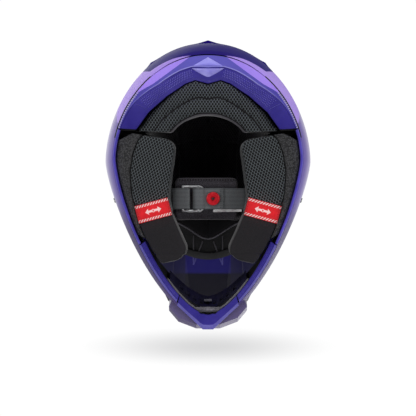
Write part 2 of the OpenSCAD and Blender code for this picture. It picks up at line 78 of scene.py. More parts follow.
def outline(r, a, d=0.0):
    c, s = math.cos(math.radians(a)), math.sin(math.radians(a))
    front, k = s < 0, r[4]
    wide = 1 + 0.26 * k if front else 1 - 0.04 * k
    long = 1 + 0.43 * k if front else 1 + 0.11 * k
    reach = inset(r[2], FRONT_LEN, d) if front else inset(r[3], REAR_LEN, d)
    return (math.copysign(inset(r[1], HALF_W, d) * abs(c) ** wide, c),
            MID_Y + math.copysign(reach * abs(s) ** long, s))


def shell_point(s, a, d=0.0):
    r = level(s)
    x, y = outline(r, a, d)
    z = r[0] * (CROWN_H - d)
    return (x, y, z + lift(y) * max(0.0, 1 - z / 90))


# ---------------------------------------------------------------- mesh helpers
def link(name, mesh):
    ob = bpy.data.objects.new(name, mesh)
    bpy.context.scene.collection.objects.link(ob)
    return ob


def solid(name, verts, faces, sharp=30.0, uv=None, turn=True):
    """An object from vertices in mm. uv gives one pair per vertex."""
    me = bpy.data.meshes.new(name)
    me.from_pydata([(x * MM, y * MM, z * MM) for x, y, z in verts], [], faces)
    if uv is not None:
        layer = me.uv_layers.new(name="run")
        index = np.zeros(len(me.loops), np.int32)
        me.loops.foreach_get("vertex_index", index)
        layer.data.foreach_set("uv", np.array(uv, np.float32)[index].ravel())
    if turn:
        bm = bmesh.new()
        bm.from_mesh(me)
        bmesh.ops.recalc_face_normals(bm, faces=bm.faces)
        bm.to_mesh(me)
        bm.free()
    shade(me, sharp)
    return link(name, me)


def shade(me, sharp):
    me.polygons.foreach_set("use_smooth", np.ones(len(me.polygons), bool))
    if sharp:
        me.set_sharp_from_angle(angle=math.radians(sharp))


def ring_solid(name, rings, sharp=30.0, uv=None, poles=None, closed=False):
    """A solid through rings of equally many points. poles: the two end points, or None for the middles.
    closed joins the last ring to the first."""
    n, m = len(rings[0]), len(rings)
    verts = [p for ring in rings for p in ring]
    faces = []
    for j in range(m if closed else m - 1):
        k = (j + 1) % m
        faces += [(j * n + i, j * n + (i + 1) % n, k * n + (i + 1) % n, k * n + i) for i in range(n)]
    uvs = None if uv is None else [p for ring in uv for p in ring]
    if not closed:
        ends = poles or [tuple(np.mean(rings[0], 0)), tuple(np.mean(rings[-1], 0))]
        verts += ends
        if uvs is not None:
            uvs += [tuple(np.mean(uv[0], 0)), tuple(np.mean(uv[-1], 0))]
        faces += [(n * m, (i + 1) % n, i) for i in range(n)]
        faces += [(n * m + 1, (m - 1) * n + i, (m - 1) * n + (i + 1) % n) for i in range(n)]
    return solid(name, verts, faces, sharp, uvs)


def prism(name, points, z0, z1, axis="z"):
    """A polygon carried along an axis: points are (x, y) for z, (y, z) for x and (x, z) for y."""
    def put(p, h):
        return {"z": (p[0], p[1], h), "x": (h, p[0], p[1]), "y": (p[0], h, p[1])}[axis]
    n = len(points)
    verts = [put(p, z0) for p in points] + [put(p, z1) for p in points]
    faces = [tuple(range(n)), tuple(range(n, 2 * n))]
    faces += [(i, (i + 1) % n, n + (i + 1) % n, n + i) for i in range(n)]
    return solid(name, verts, faces, 30)


def cuboid(name, low, high):
    corners = [(low[0], low[1]), (high[0], low[1]), (high[0], high[1]), (low[0], high[1])]
    return prism(name, corners, low[2], high[2])


def settle(ob):
    """Applies an object's modifiers."""
    dg = bpy.context.evaluated_depsgraph_get()
    me = bpy.data.meshes.new_from_object(ob.evaluated_get(dg))
    ob.modifiers.clear()
    ob.data = me
    return ob


def drop(ob):
    bpy.data.objects.remove(ob, do_unlink=True)


def cut(ob, *others, op="DIFFERENCE", keep=False, sharp=30.0):
    for other in others:
        mod = ob.modifiers.new("cut", "BOOLEAN")
        mod.object, mod.operation, mod.solver = other, op, "EXACT"
        settle(ob)
        if not keep:
            drop(other)
    shade(ob.data, sharp)
    return ob


def bevel(ob, width, segments=2, angle=30, sharp=40.0):
    mod = ob.modifiers.new("bevel", "BEVEL")
    mod.width, mod.segments = width * MM, segments
    mod.limit_method, mod.angle_limit = "ANGLE", math.radians(angle)
    mod.use_clamp_overlap = True
    settle(ob)
    shade(ob.data, sharp)
    return ob


def mirror(ob):
    """Turns a piece of the left side into one of the right."""
    ob.data.transform(Matrix.Scale(-1, 4, (1, 0, 0)))
    ob.data.flip_normals()


def coords(ob):
    co = np.zeros(len(ob.data.vertices) * 3, np.float32)
    ob.data.vertices.foreach_get("co", co)
    return co.reshape(-1, 3).astype(float) / MM


def set_coords(ob, co):
    ob.data.vertices.foreach_set("co", (co * MM).astype(np.float32).ravel())
    ob.data.update()


def normals(ob):
    no = np.zeros(len(ob.data.vertices) * 3, np.float32)
    ob.data.vertex_normals.foreach_get("vector", no)
    return no.reshape(-1, 3).astype(float)


def soften(ob, voxel, rounds):
    """Remeshes a form evenly, in mm, and rounds its edges."""
    re = ob.modifiers.new("remesh", "REMESH")
    re.mode, re.voxel_size = "VOXEL", voxel * MM
    sm = ob.modifiers.new("smooth", "SMOOTH")
    sm.factor, sm.iterations = 0.5, rounds
    settle(ob)
    shade(ob.data, 0)
    return ob


def padded_from(node, name, voxel=1.6, rounds=20):
    """A rounded, even mesh of a soft CAD solid."""
    me = NODES[node].data.copy()
    bm = bmesh.new()
    bm.from_mesh(me)
    bmesh.ops.remove_doubles(bm, verts=bm.verts, dist=1e-6)
    bm.to_mesh(me)
    bm.free()
    ob = link(name, me)
    me.materials.clear()
    return soften(ob, voxel, rounds)


def groove(ob, distance, depth, width, where=None):
    """Presses a line into a surface. distance(co) is each point's distance from the line in mm."""
    co, no = coords(ob), normals(ob)
    k = depth * np.exp(-(distance(co) / width) ** 2)
    if where is not None:
        k = k * where(co, no)
    set_coords(ob, co - no * k[:, None])


def puff(ob, height, scale, seed=0.0):
    """Slow unevenness of a soft surface."""
    co, no = coords(ob), normals(ob)
    k = np.array([noise.noise(Vector((p[0] / scale + seed, p[1] / scale, p[2] / scale))) for p in co])
    set_coords(ob, co + no * (k * height)[:, None])


def chaikin(path, rounds=2, closed=False):
    p = [np.array(q, float) for q in path]
    for _ in range(rounds):
        out = [] if closed else [p[0]]
        for i in range(len(p) if closed else len(p) - 1):
            a, b = p[i], p[(i + 1) % len(p)]
            out += [a * 0.75 + b * 0.25, a * 0.25 + b * 0.75]
        if not closed:
            out.append(p[-1])
        p = out
    return p


def tube(name, path, radius, sides=8, closed=False, up=(0, 0, 1)):
    """A round tube along points in mm."""
    path = [Vector(p) for p in path]
    rings, count = [], len(path)
    for i, p in enumerate(path):
        a = path[i - 1] if i or closed else path[0]
        b = path[(i + 1) % count] if i < count - 1 or closed else path[-1]
        d = (b - a).normalized()
        u = d.cross(Vector(up))
        if u.length < 1e-4:
            u = d.cross(Vector((1, 0, 0)))
        u.normalize()
        v = d.cross(u)
        rings.append([tuple(p + radius * (math.cos(t) * u + math.sin(t) * v))
                      for t in (2 * math.pi * k / sides for k in range(sides))])
    return ring_solid(name, rings, 0, closed=closed)


def lathe(name, profile, centre, sides=64, sharp=35.0):
    """A turned form about a vertical line: profile is (radius, height)."""
    x, y = centre
    rings = [[(x + r * math.cos(2 * math.pi * i / sides), y + r * math.sin(2 * math.pi * i / sides), z)
              for i in range(sides)] for r, z in profile]
    return ring_solid(name, rings, sharp)


# ---------------------------------------------------------------- materials
def rgb(code):
    c = [int(code[i:i + 2], 16) / 255 for i in (1, 3, 5)]
    return tuple(v / 12.92 if v <= 0.04045 else ((v + 0.055) / 1.055) ** 2.4 for v in c) + (1.0,)


class Val:
    """A number inside a material, with the usual arithmetic."""
    def __init__(self, tree, out):
        self.tree, self.out = tree, out

    def op(self, kind, *rest, clamp=False):
        n = self.tree.nodes.new("ShaderNodeMath")
        n.operation, n.use_clamp = kind, clamp
        for socket, v in zip(n.inputs, (self, *rest)):
            if isinstance(v, Val):
                self.tree.links.new(v.out, socket)
            else:
                socket.default_value = v
        return Val(self.tree, n.outputs[0])

    def __add__(self, o): return self.op("ADD", o)
    def __radd__(self, o): return self.op("ADD", o)
    def __sub__(self, o): return self.op("SUBTRACT", o)
    def __rsub__(self, o): return (self * -1.0).op("ADD", o)
    def __mul__(self, o): return self.op("MULTIPLY", o)
    def __rmul__(self, o): return self.op("MULTIPLY", o)
    def __truediv__(self, o): return self.op("DIVIDE", o)
    def __abs__(self): return self.op("ABSOLUTE")
    def fract(self): return self.op("FRACT")
    def sqrt(self): return self.op("SQRT")
    def sin(self): return self.op("SINE")
    def least(self, o): return self.op("MINIMUM", o)
    def most(self, o): return self.op("MAXIMUM", o)

    def ramp(self, a, b):
        """0 at a and below, 1 at b and above, smooth between."""
        n = self.tree.nodes.new("ShaderNodeMapRange")
        n.interpolation_type = "SMOOTHSTEP"
        n.inputs["From Min"].default_value, n.inputs["From Max"].default_value = (a, b) if a < b else (b, a)
        n.inputs["To Min"].default_value, n.inputs["To Max"].default_value = (0, 1) if a < b else (1, 0)
        self.tree.links.new(self.out, n.inputs["Value"])
        return Val(self.tree, n.outputs["Result"])


class Mat:
    """A material built from formulas of the object's own coordinates, in mm."""
    def __init__(self, name, rough=0.5, metal=0.0, sheen=0.0, coat=0.0, coat_rough=0.1, specular=0.5):
        self.m = bpy.data.materials.new(name)
        self.m.use_nodes = True
        self.t = self.m.node_tree
        self.b = self.t.nodes["Principled BSDF"]
        for key, v in (("Roughness", rough), ("Metallic", metal), ("Sheen Weight", sheen),
                       ("Coat Weight", coat),
                       ("Coat Roughness", coat_rough), ("Specular IOR Level", specular)):
            self.b.inputs[key].default_value = v
        self.tex = self.t.nodes.new("ShaderNodeTexCoord")
        self.place = self.split(self.tex.outputs["Object"], 1000.0)
        self.bumps = None

    def split(self, out, scale=1.0):
        n = self.t.nodes.new("ShaderNodeSeparateXYZ")
        self.t.links.new(out, n.inputs[0])
        vals = [Val(self.t, o) for o in n.outputs]
        return [v * scale for v in vals] if scale != 1.0 else vals

    def uv(self):
        n = self.t.nodes.new("ShaderNodeUVMap")
        n.uv_map = "run"
        return self.split(n.outputs[0])[:2]

    def vector(self, x, y, z=0.0):
        n = self.t.nodes.new("ShaderNodeCombineXYZ")
        for s, v in zip(n.inputs, (x, y, z)):
            if isinstance(v, Val):
                self.t.links.new(v.out, s)
            else:
                s.default_value = v
        return n.outputs[0]

    def noise(self, size, detail=3.0, where=None, stretch=(1, 1, 1)):
        """Noise from 0 to 1 with features of that size in mm."""
        x, y, z = where or self.place
        v = self.vector(x * (stretch[0] / size), y * (stretch[1] / size), z * (stretch[2] / size))
        n = self.t.nodes.new("ShaderNodeTexNoise")
        n.inputs["Scale"].default_value, n.inputs["Detail"].default_value = 1.0, detail
        self.t.links.new(v, n.inputs["Vector"])
        return Val(self.t, n.outputs[0])

    def cells(self, size, feature="F1"):
        """Distance from the nearest of scattered points that lie about size mm apart."""
        x, y, z = self.place
        n = self.t.nodes.new("ShaderNodeTexVoronoi")
        n.feature = feature
        n.inputs["Scale"].default_value = 1.0
        self.t.links.new(self.vector(x / size, y / size, z / size), n.inputs["Vector"])
        return Val(self.t, n.outputs["Distance"])

    def colour(self, a, b, k):
        """From colour a to colour b by the number k."""
        n = self.t.nodes.new("ShaderNodeMix")
        n.data_type = "RGBA"
        n.clamp_factor = True
        self.t.links.new(k.out, n.inputs["Factor"])
        for socket, c in ((n.inputs[6], a), (n.inputs[7], b)):
            if isinstance(c, str):
                socket.default_value = rgb(c)
            else:
                self.t.links.new(c, socket)
        return n.outputs[2]

    def base(self, c):
        if isinstance(c, str):
            self.b.inputs["Base Color"].default_value = rgb(c)
        else:
            self.t.links.new(c, self.b.inputs["Base Color"])
        return self

    def rough(self, v):
        self.t.links.new(v.out, self.b.inputs["Roughness"])
        return self

    def bump(self, height, strength=0.5, mm=0.3):
        n = self.t.nodes.new("ShaderNodeBump")
        n.inputs["Strength"].default_value = strength
        n.inputs["Distance"].default_value = mm * MM
        self.t.links.new(height.out, n.inputs["Height"])
        if self.bumps is not None:
            self.t.links.new(self.bumps, n.inputs["Normal"])
        self.bumps = n.outputs[0]
        self.t.links.new(self.bumps, self.b.inputs["Normal"])
        return self

    def facing(self):
        """How far the surface faces up or down, or left or right, or to front or back, from 0 to 1."""
        return [abs(v) for v in self.split(self.tex.outputs["Normal"])]


def fade(m, light, dark, size=40.0, low=0.35, high=0.65):
    """Slight unevenness of colour."""
    return m.colour(dark, light, m.noise(size, 4).ramp(low, high))


def lattice(u, v, pitch):
    """Distance from the nearest point of a staggered lattice, as a share of the pitch."""
    def away(off):
        a = abs((u / pitch + off).fract() - 0.5)
        b = abs(((v / (pitch * 1.5) + off).fract() - 0.5) * 1.5)
        return ((a * a + b * b).sqrt() * 0.5 + (a + b * 0.67) * 0.5)
    return away(0.0).least(away(0.5))


def painted(name, light, dark, rough=0.34, coat=0.25, specular=0.5):
    m = Mat(name, rough=rough, coat=coat, coat_rough=0.22, specular=specular)
    m.base(fade(m, light, dark, 30))
    m.rough(m.noise(6, 4) * 0.12 + (rough - 0.06))
    m.bump(m.noise(0.9, 3), 0.12, 0.05)
    return m


def moulded(name, light, dark, rough=0.5, grain=0.5, coat=0.0):
    """Moulded plastic with a fine spark-eroded grain."""
    m = Mat(name, rough=rough, coat=coat)
    m.base(fade(m, light, dark, 18))
    m.rough(m.noise(4, 4) * 0.16 + (rough - 0.08))
    m.bump(m.noise(0.5, 2), grain * 0.4, 0.06)
    m.bump(m.noise(8, 2), 0.1, 0.3)
    return m


def metal(name, light, dark, rough=0.3):
    m = Mat(name, rough=rough, metal=1.0)
    m.base(fade(m, light, dark, 5))
    m.rough(m.noise(1.2, 4, stretch=(1, 8, 1)) * 0.2 + (rough - 0.1))
    m.bump(m.noise(0.8, 3), 0.15, 0.04)
    return m


def mesh_cloth(name, thread, hole, pitch=2.5, plain=None, plain_colours=None, turn=0.0):
    """Spacer mesh with holes. plain(m) gives 1 where the cloth is a smooth knit instead."""
    m = Mat(name, rough=0.78, sheen=0.25, specular=0.3)
    m.b.inputs["Sheen Roughness"].default_value = 0.5
    x, y, z = m.place
    c, s = math.cos(math.radians(turn)), math.sin(math.radians(turn))
    u, v = x * c + y * s, y * c - x * s
    nx, ny, nz = m.facing()
    flat = nz.ramp(0.5, 0.62)
    side = nx.ramp(0.45, 0.6)
    top = lattice(u, v, pitch)
    wall = lattice(y, z, pitch) * side + lattice(x, z, pitch) * (1.0 - side)
    d = top * flat + wall * (1.0 - flat)
    open_ = d.ramp(0.44, 0.37)
    strands = (u * 2.2 + v * 1.1).sin() * 0.5 + 0.5
    body = m.colour(thread, hole, open_)
    body = m.colour(body, thread, (m.noise(0.7, 2).ramp(0.5, 0.8)) * 0.35 * (1.0 - open_))
    wear = m.noise(25, 3).ramp(0.3, 0.75)
    body = m.colour(body, hole, open_.most(wear * 0.12))
    height = d.ramp(0.2, 0.5) + strands * 0.1
    if plain:
        p = plain(m)
        knit = ((x * 4.5).sin() * (y * 4.5).sin() * (z * 4.5 + 1.0).sin()) * 0.5 + 0.5
        loops = (m.noise(1.1, 3) * 0.6 + knit * 0.4).ramp(0.2, 0.8)
        tone = m.colour(plain_colours[1], plain_colours[0], loops)
        body = m.colour(body, tone, p)
        height = height * (1.0 - p) + (knit * 0.25 + m.noise(0.6, 2) * 0.2) * p
    m.base(body)
    m.bump(height, 0.75, 0.55)
    return m


def knit(name, light, dark, scale=1.0, sheen=0.3):
    m = Mat(name, rough=0.85, sheen=sheen, specular=0.25)
    x, y, z = m.place
    loops = ((x * 5.2 / scale).sin() * (y * 5.2 / scale).sin() + (z * 5.2 / scale).sin()) * 0.25 + 0.5
    m.base(m.colour(dark, light, (loops * 0.5 + m.noise(1.3, 3) * 0.5).ramp(0.25, 0.75)))
    m.bump(loops * 0.5 + m.noise(0.5, 2) * 0.5, 0.5, 0.3)
    return m


def bead_foam(name, light, dark, size=2.6):
    m = Mat(name, rough=0.7, specular=0.35)
    d = m.cells(size)
    edge = m.cells(size, "DISTANCE_TO_EDGE")
    speck = m.noise(1.0, 3).ramp(0.5, 0.78)
    c = m.colour(dark, light, (1.0 - d).ramp(0.2, 0.9) * 0.6 + speck * 0.5)
    m.base(m.colour(c, dark, edge.ramp(0.08, 0.0) * 0.8))
    m.bump(edge.ramp(0.0, 0.22), 0.45, 0.35)
    m.bump(m.noise(0.8, 3), 0.4, 0.2)
    return m


def give(ob, m, body=None, stands=()):
    """Dresses a piece, and says what it rides on and stands for."""
    ob.data.materials.clear()
    ob.data.materials.append(m.m)
    if stands:
        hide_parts(*stands)
    if body:
        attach(ob, body)
    return ob


def dress(node, m, width=0.35, segments=2):
    """Gives a CAD node its material and slightly rounded edges."""
    ob = NODES[node]
    for s in ob.material_slots:
        s.link = "OBJECT"
        s.material = m.m
    if width:
        weld = ob.modifiers.new("weld", "WELD")
        weld.merge_threshold = 0.00001
        mod = ob.modifiers.new("round", "BEVEL")
        mod.width, mod.segments = width * MM, segments
        mod.limit_method, mod.angle_limit = "ANGLE", math.radians(35)
    return ob


# ---------------------------------------------------------------- what the pieces are made of
steel = metal("dark_nickel", "#f4f5f6", "#cfd1d3", 0.5)
dull_steel = metal("zinc_steel", "#9a9c9e", "#77797b", 0.42)
black_plastic = moulded("black_plastic", "#1d1d20", "#121214", 0.5)
felt = knit("black_felt", "#262327", "#151316", 0.5, 0.1)
lip_felt = knit("grey_felt", "#8c898e", "#5c5a5f", 0.6, 0.4)
foam_black = bead_foam("black_bead_foam", "#1c1c1e", "#0b0b0c")
foam_grey = bead_foam("charcoal_bead_foam", "#666668", "#262627", 1.8)
lining = knit("black_lining", "#1d1a1e", "#0e0b0f", 1.0, 0.1)
edge_knit = knit("grey_edging", "#6a676f", "#3a383e", 0.8, 0.3)


def shell_paint():
    m = Mat("shell_paint", rough=0.45, coat=0.0, coat_rough=0.3, specular=0.1)
    x, y, z = m.place
    ax = abs(x)
    edge = z + y * -0.10                       # side panel's top line rises to the front
    side = edge.ramp(154.0, 153.0)
    low = z.ramp(10.0, 62.0)
    white = m.colour("#7a6bb4", "#cfc8e6", low)
    grey = m.colour("#635a80", "#b9b8bd", z.ramp(20.0, 100.0))
    panel = m.colour(white, grey, y.ramp(-12.0, -66.0))
    panel = m.colour(panel, "#5f5286", (y + z * 0.12).ramp(-96.0, -140.0))
    lav = m.colour("#b497f2", "#c4a9fa", m.noise(40, 3))
    panel = m.colour(panel, lav, (y - z * 0.35).ramp(62.0, 64.0))
    band = edge.ramp(176.0, 175.0)
    upper = m.colour("#3d31a0", "#5a4cc0", (y + ax * 0.9 - z * 0.2).ramp(40.0, -30.0))
    streak = (ax * 0.62 + y * 0.16 + z * 0.36)
    upper = m.colour(upper, "#31228c", streak.ramp(92.0, 91.0))
    upper = m.colour(upper, "#a68bea", (streak.ramp(99.0, 98.4)) * (streak.ramp(91.6, 92.2)))
    body = m.colour(upper, lav, band)
    line = edge.ramp(152.6, 153.2) * edge.ramp(156.4, 155.8)
    body = m.colour(body, panel, side)
    body = m.colour(body, "#19152c", line)
    rear = (z - ax * 0.2).ramp(17.5, 18.5) * (y - ax * 0.28).ramp(109.0, 110.0)
    rear = rear * (z + ax * 0.25).ramp(167.0, 166.0)
    body = m.colour(body, "#261878", rear)
    m.base(body)
    m.rough(m.noise(6, 4) * 0.1 + 0.42)
    m.bump(m.noise(0.9, 3), 0.08, 0.05)
    m.bump(side + band, 0.2, 0.1)
    return m


# ---------------------------------------------------------------- outer shell
TURN = 192
PLACES = [0.62 + 0.13 * i for i in range(79)] + [10.93, 10.98]


def form(d, name="form", s0=0.0, drop_by=0.0, rise=6.3, turn=TURN):
    rings = []
    if s0 == 0:
        r = level(0.28)
        ring = []
        for i in range(turn):
            x, y = outline(r, i * 360 / turn, d)
            ring.append((x, y, rise + lift(y) - drop_by))
        rings.append(ring)
    rings += [[shell_point(s, i * 360 / turn, d) for i in range(turn)] for s in PLACES if s >= s0]
    return ring_solid(name, rings, 0)


PORT_LOW, PORT_HIGH = 84.0, 172.0


def port_points(d, r=12.0):
    """The eye port's side view, grown by d, with rounded corners."""
    pts = [(-260, PORT_LOW), (-50, PORT_LOW + 6), (-26, PORT_LOW + 22), (-31, PORT_HIGH - 34),
           (-56, PORT_HIGH - 3), (-260, PORT_HIGH)]
    n, lines = len(pts), []
    for i in range(n):
        a, b = np.array(pts[i], float), np.array(pts[(i + 1) % n], float)
        u = (b - a) / np.linalg.norm(b - a)
        out = np.array([u[1], -u[0]])
        lines.append((a + out * d, u))
    corners = []
    for i in range(n):
        (p, u), (q, v) = lines[i - 1], lines[i]
        t = np.linalg.solve(np.array([u, -v]).T, q - p)
        corners.append(p + u * t[0])
    result = []
    for i in range(n):
        p, (_, u), (_, v) = corners[i], lines[i - 1], lines[i]
        if i in (0, n - 1):
            result.append(tuple(p))
            continue
        turn_ = math.acos(max(-1, min(1, float(u @ v))))
        r_ = r + d
        cut_ = r_ * math.tan(turn_ / 2)
        inner = np.array([-u[1], u[0]])
        c = p - u * cut_ + inner * r_
        a0 = math.atan2(*((p - u * cut_) - c)[::-1])
        result += [(c[0] + r_ * math.cos(a0 + turn_ * k / 10), c[1] + r_ * math.sin(a0 + turn_ * k / 10))
                   for k in range(11)]
    return result


def port(d, wide=140):
    return prism("port", port_points(d), -wide, wide, "x")


def round_rod(r, h0, h1, place, axis, sides=48):
    """A plain rod used for cutting."""
    ob = lathe("rod", [(r, h0), (r, h1)], (0, 0), sides)
    turn_ = Vector((0, 0, 1)).rotation_difference(Vector(axis)).to_matrix().to_4x4()
    ob.data.transform(Matrix.Translation(Vector(place) * MM) @ turn_)
    return ob


PIVOT = (5, 172)     # the visor hinge's y and z
BOSS_R = 9.3         # a boss and its clearance
screw_turn = 14.0
top_axis = (0, -math.sin(math.radians(screw_turn)), math.cos(math.radians(screw_turn)))
mouth = lambda d: cuboid("mouth", (-22 - d, -200, 44 - d), (22 + d, -130, 66 + d))
shell = cut(form(0, "shell"), form(SHELL_T, drop_by=60), port(0), mouth(0.3),
            *[round_rod(BOSS_R, -30, 30, (x, *PIVOT), (1, 0, 0)) for x in (HALF_W, -HALF_W)],
            round_rod(BOSS_R, 80, 110, (0, *PIVOT), top_axis))
give(shell, shell_paint(), "helmet", ["outer_shell"])

# the rubber seal round the eye port
seal = cut(form(-1.0, "eye_port_gasket"), form(SHELL_T + 2, drop_by=60))
cut(seal, port(-0.15), op="INTERSECT")
cut(seal, port(-3.0))
cut(seal, cuboid("front", (-130, -200, 60), (130, -10, 200)), op="INTERSECT")
bevel(seal, 0.8, 2, 50)
give(seal, moulded("seal_rubber", "#1a1a1c", "#111113", 0.62), "helmet", ["eye_port_seal"])

# ---------------------------------------------------------------- rear spoiler
def table(rows, f):
    f = min(rows[-1][0], max(rows[0][0], f))
    for a, b in zip(rows, rows[1:]):
        if f <= b[0]:
            t = (f - a[0]) / (b[0] - a[0])
            return tuple(mix(p, q, t) for p, q in zip(a[1:], b[1:]))


def shell_rear(x, z):
    """How far back the shell reaches at x and height z."""
    lo_, hi_ = 0.0, 10.9
    for _ in range(30):
        s = (lo_ + hi_) / 2
        r = level(s)
        c = min(0.9999, (abs(x) / (r[1] * HALF_W)) ** (1 / (1 - 0.04 * r[4])))
        y = MID_Y + r[3] * REAR_LEN * math.sqrt(1 - c * c) ** (1 + 0.11 * r[4])
        zz = r[0] * CROWN_H
        zz += lift(y) * max(0.0, 1 - zz / 90)
        lo_, hi_ = (s, hi_) if zz < z else (lo_, s)
    return y


ROOF = [(0, 173.4), (42.8, 160.2), (70.4, 146.0), (78, 134.0)]
PROUD = [(84, 0.0), (107, 1.0), (109, 1.0), (116, 0.94), (168, 0.0)]
zs = sorted({84, 88, 92, 96, 100, 104, 107, 108, 109, 112, 116} | {116 + 4 * k for k in range(14)})
xs = [-78 + 1.5 * k for k in range(105)]
outer, inner_ = [], []
for z in zs:
    outer.append([])
    inner_.append([])
    for x in xs:
        y = shell_rear(x, z)
        k = table(PROUD, z)[0] * smooth((78.5 - abs(x)) / 5)
        out_y = y + max(table(ROOF, abs(x))[0] - y, 1.6) * k + 0.25
        outer[-1].append((x, out_y, z))
        inner_[-1].append((x, y - 0.6, z))
rings = [o + i[::-1] for o, i in zip(outer, inner_)]
spoiler = ring_solid("rear_spoiler_cap", rings, 9)
give(spoiler, painted("spoiler_indigo", "#291b80", "#231674", 0.6, 0.0, 0.0), "helmet",
     ["rear_spoiler"])

# ---------------------------------------------------------------- bottom trims
REAR_EDGE = [(0, 0, 113), (0.15, 15, 117), (0.27, 26, 113), (0.5, 48, 98), (0.75, 69, 79), (1, 83.5, 58.5)]
REAR_A, FRONT_A, CHIN_A = 19.0, -39.5, -65.5


def rear_inner(f):
    x, y = table(REAR_EDGE, abs(f))
    return (math.copysign(x, f), y)


FOOT = level(0)
RIDGE = [(0, 0.40), (0.15, 0.42), (0.3, 0.42), (0.5, 0.40), (0.62, 0.30), (0.75, 0.18), (1, 0.10)]


def rear_place(f, t):
    """A place on the rear trim's underside: f from -1 to 1 round it, t from its outer edge to its inner."""
    a = 90 - f * (90 - REAR_A)
    o, i = outline(FOOT, a), rear_inner(f)
    return mix(o[0], i[0], t), mix(o[1], i[1], t)


def rear_low(f, t):
    """The underside's height over the lifted edge."""
    r = table(RIDGE, abs(f))[0]
    if t < r:
        return mix(1.7, 0.0, t / r)
    step = min(1.0, (t - r) / 0.05)
    return 1.1 * step - 0.5 * smooth((t - 0.9) / 0.05)


def rear_rows(f):
    r = table(RIDGE, abs(f))[0]
    ts = [0, 0.012, r * 0.5, r - 0.012, r, r + 0.012, r + 0.05, 0.5 * (r + 0.95), 0.9, 0.95, 0.985, 1.0]
    pts, uv = [], []
    for k, t in enumerate(ts):
        x, y = rear_place(f, t)
        low_ = rear_low(f, t) + (0.5 if k in (0, 11) else 0)
        pts.append((x, y, lift(y) + low_))
        uv.append((f, t))
    x, y = rear_place(f, 1.0)
    pts.append((x, y, lift(y) + 6))
    uv.append((f, 1.0))
    x, y = rear_place(f, 0.0)
    pts.append((x, y, lift(y) + 6))
    uv.append((f, 0.0))
    return pts, uv


def even(n):
    return [-1 + 2 * i / n for i in range(n + 1)]


fs = sorted(set(even(180)) | {f for r in (REAR_EDGE + RIDGE) for f in (r[0], -r[0])})
rows = [rear_rows(0.993 * f) for f in fs]
rear_trim = ring_solid("rear_trim", [r[0] for r in rows], 12, [r[1] for r in rows])


def dash(place, low_, f, t, along, across, skew, tall):
    """A small raised bar on a trim: its corners in (f, t) turned to mm, with a sloping top."""
    verts = []
    for grow, h in ((1.0, 0.0), (0.62, -tall)):
        for sx, sy in ((-1, -1), (1, -1), (1, 1), (-1, 1)):
            df, dt = sx * along * grow + sy * skew * grow, sy * across * grow
            x, y = place(f + df, t + dt)
            verts.append((x, y, lift(y) + low_(f, t) + 0.05 + h))
    faces = BAR_FACES
    return verts, faces


BAR_FACES = [(0, 1, 2, 3), (7, 6, 5, 4), (0, 4, 5, 1), (1, 5, 6, 2), (2, 6, 7, 3), (3, 7, 4, 0)]


def many(name, parts, sharp=30):
    verts, faces = [], []
    for v, f in parts:
        k = len(verts)
        verts += v
        faces += [tuple(i + k for i in face) for face in f]
    return solid(name, verts, faces, sharp)


parts = []
step = 0.0185
for i in range(-41, 42):
    f = i * step
    if abs(f) < 0.165 or abs(f) > 0.72:
        continue
    r = table(RIDGE, abs(f))[0]
    t0, t1 = r + 0.10, 0.86
    count = 4 if abs(f) < 0.45 else 6
    for j in range(count):
        t = mix(t0, t1, (j + 0.5) / count)
        room = (t1 - t0) / count
        ff = f + (0.25 * step if j % 2 else -0.25 * step)
        k = smooth((abs(f) - 0.25) / 0.3)
        parts.append(dash(rear_place, rear_low, ff, t, step * mix(0.20, 0.24, k), room * mix(0.40, 0.2, k),
                          math.copysign(step * mix(0.25, 0.0, k), f), 0.55))
# the thin bar that ends the pattern
for side in (-1, 1):
    for t in np.arange(0.30, 0.86, 0.028):
        parts.append(dash(rear_place, rear_low, side * (0.735 + 0.03 * (0.9 - t)), t, 0.0022, 0.0145, 0, 0.5))
rear_pattern = many("rear_trim_pattern", parts)


def trim_material(name, base, dark, hatch=False):
    m = Mat(name, rough=0.46, coat=0.03, coat_rough=0.3, specular=0.22)
    f, t = m.uv()
    x, y, z = m.place
    af = abs(f)
    tone = fade(m, base, dark, 22)
    m_tone = tone
    if hatch:
        ridge = (t - (0.41 - (af - 0.5).most(0.0) * 0.92).most(0.10))
        m_tone = m.colour(m.colour("#645ebc", "#4f48a6", af.ramp(0.0, 0.7)), tone, ridge.ramp(-0.01, 0.03))
        # a painted highlight: light lavender along the ridge line, fading towards the ends
        glint = ridge.ramp(-0.035, -0.005) * ridge.ramp(0.03, 0.006)
        m_tone = m.colour(m_tone, "#a19ee0", glint * af.ramp(0.95, 0.4) * 0.9)
        stripe = ((y - x.op("ABSOLUTE") * 0.2) / 2.6).fract().ramp(0.45, 0.55)
        zone = t.ramp(0.085, 0.075) * af.ramp(0.5, 0.52)
        m_tone = m.colour(m_tone, m.colour("#6a62ac", "#b9b4d2", stripe), zone)
        ax = abs(x)
        wedge = (y - (149.5 - ax * 0.577).most(160.6 - ax * 0.75)).ramp(-0.15, 0.15)
        m_tone = m.colour(m_tone, m.colour("#a384ea", "#b295f2", m.noise(30, 3)), wedge)
    else:
        zone = t.ramp(0.34, 0.30)
        m_tone = m.colour(tone, m.colour("#5f58ac", "#817cc6", m.noise(18, 3)), zone * 0.75)
    m.base(m_tone)
    m.rough(m.noise(4, 4) * 0.14 + 0.36)
    m.bump(m.noise(0.6, 3), 0.2, 0.06)
    return m


trim_plain = moulded("trim_pattern", "#7770c6", "#5f58b2", 0.42)
give(rear_trim, trim_material("rear_trim_plastic", "#3f3690", "#372e88", True), "helmet",
     ["bottom_trim_rear"])
give(rear_pattern, trim_plain, "helmet")

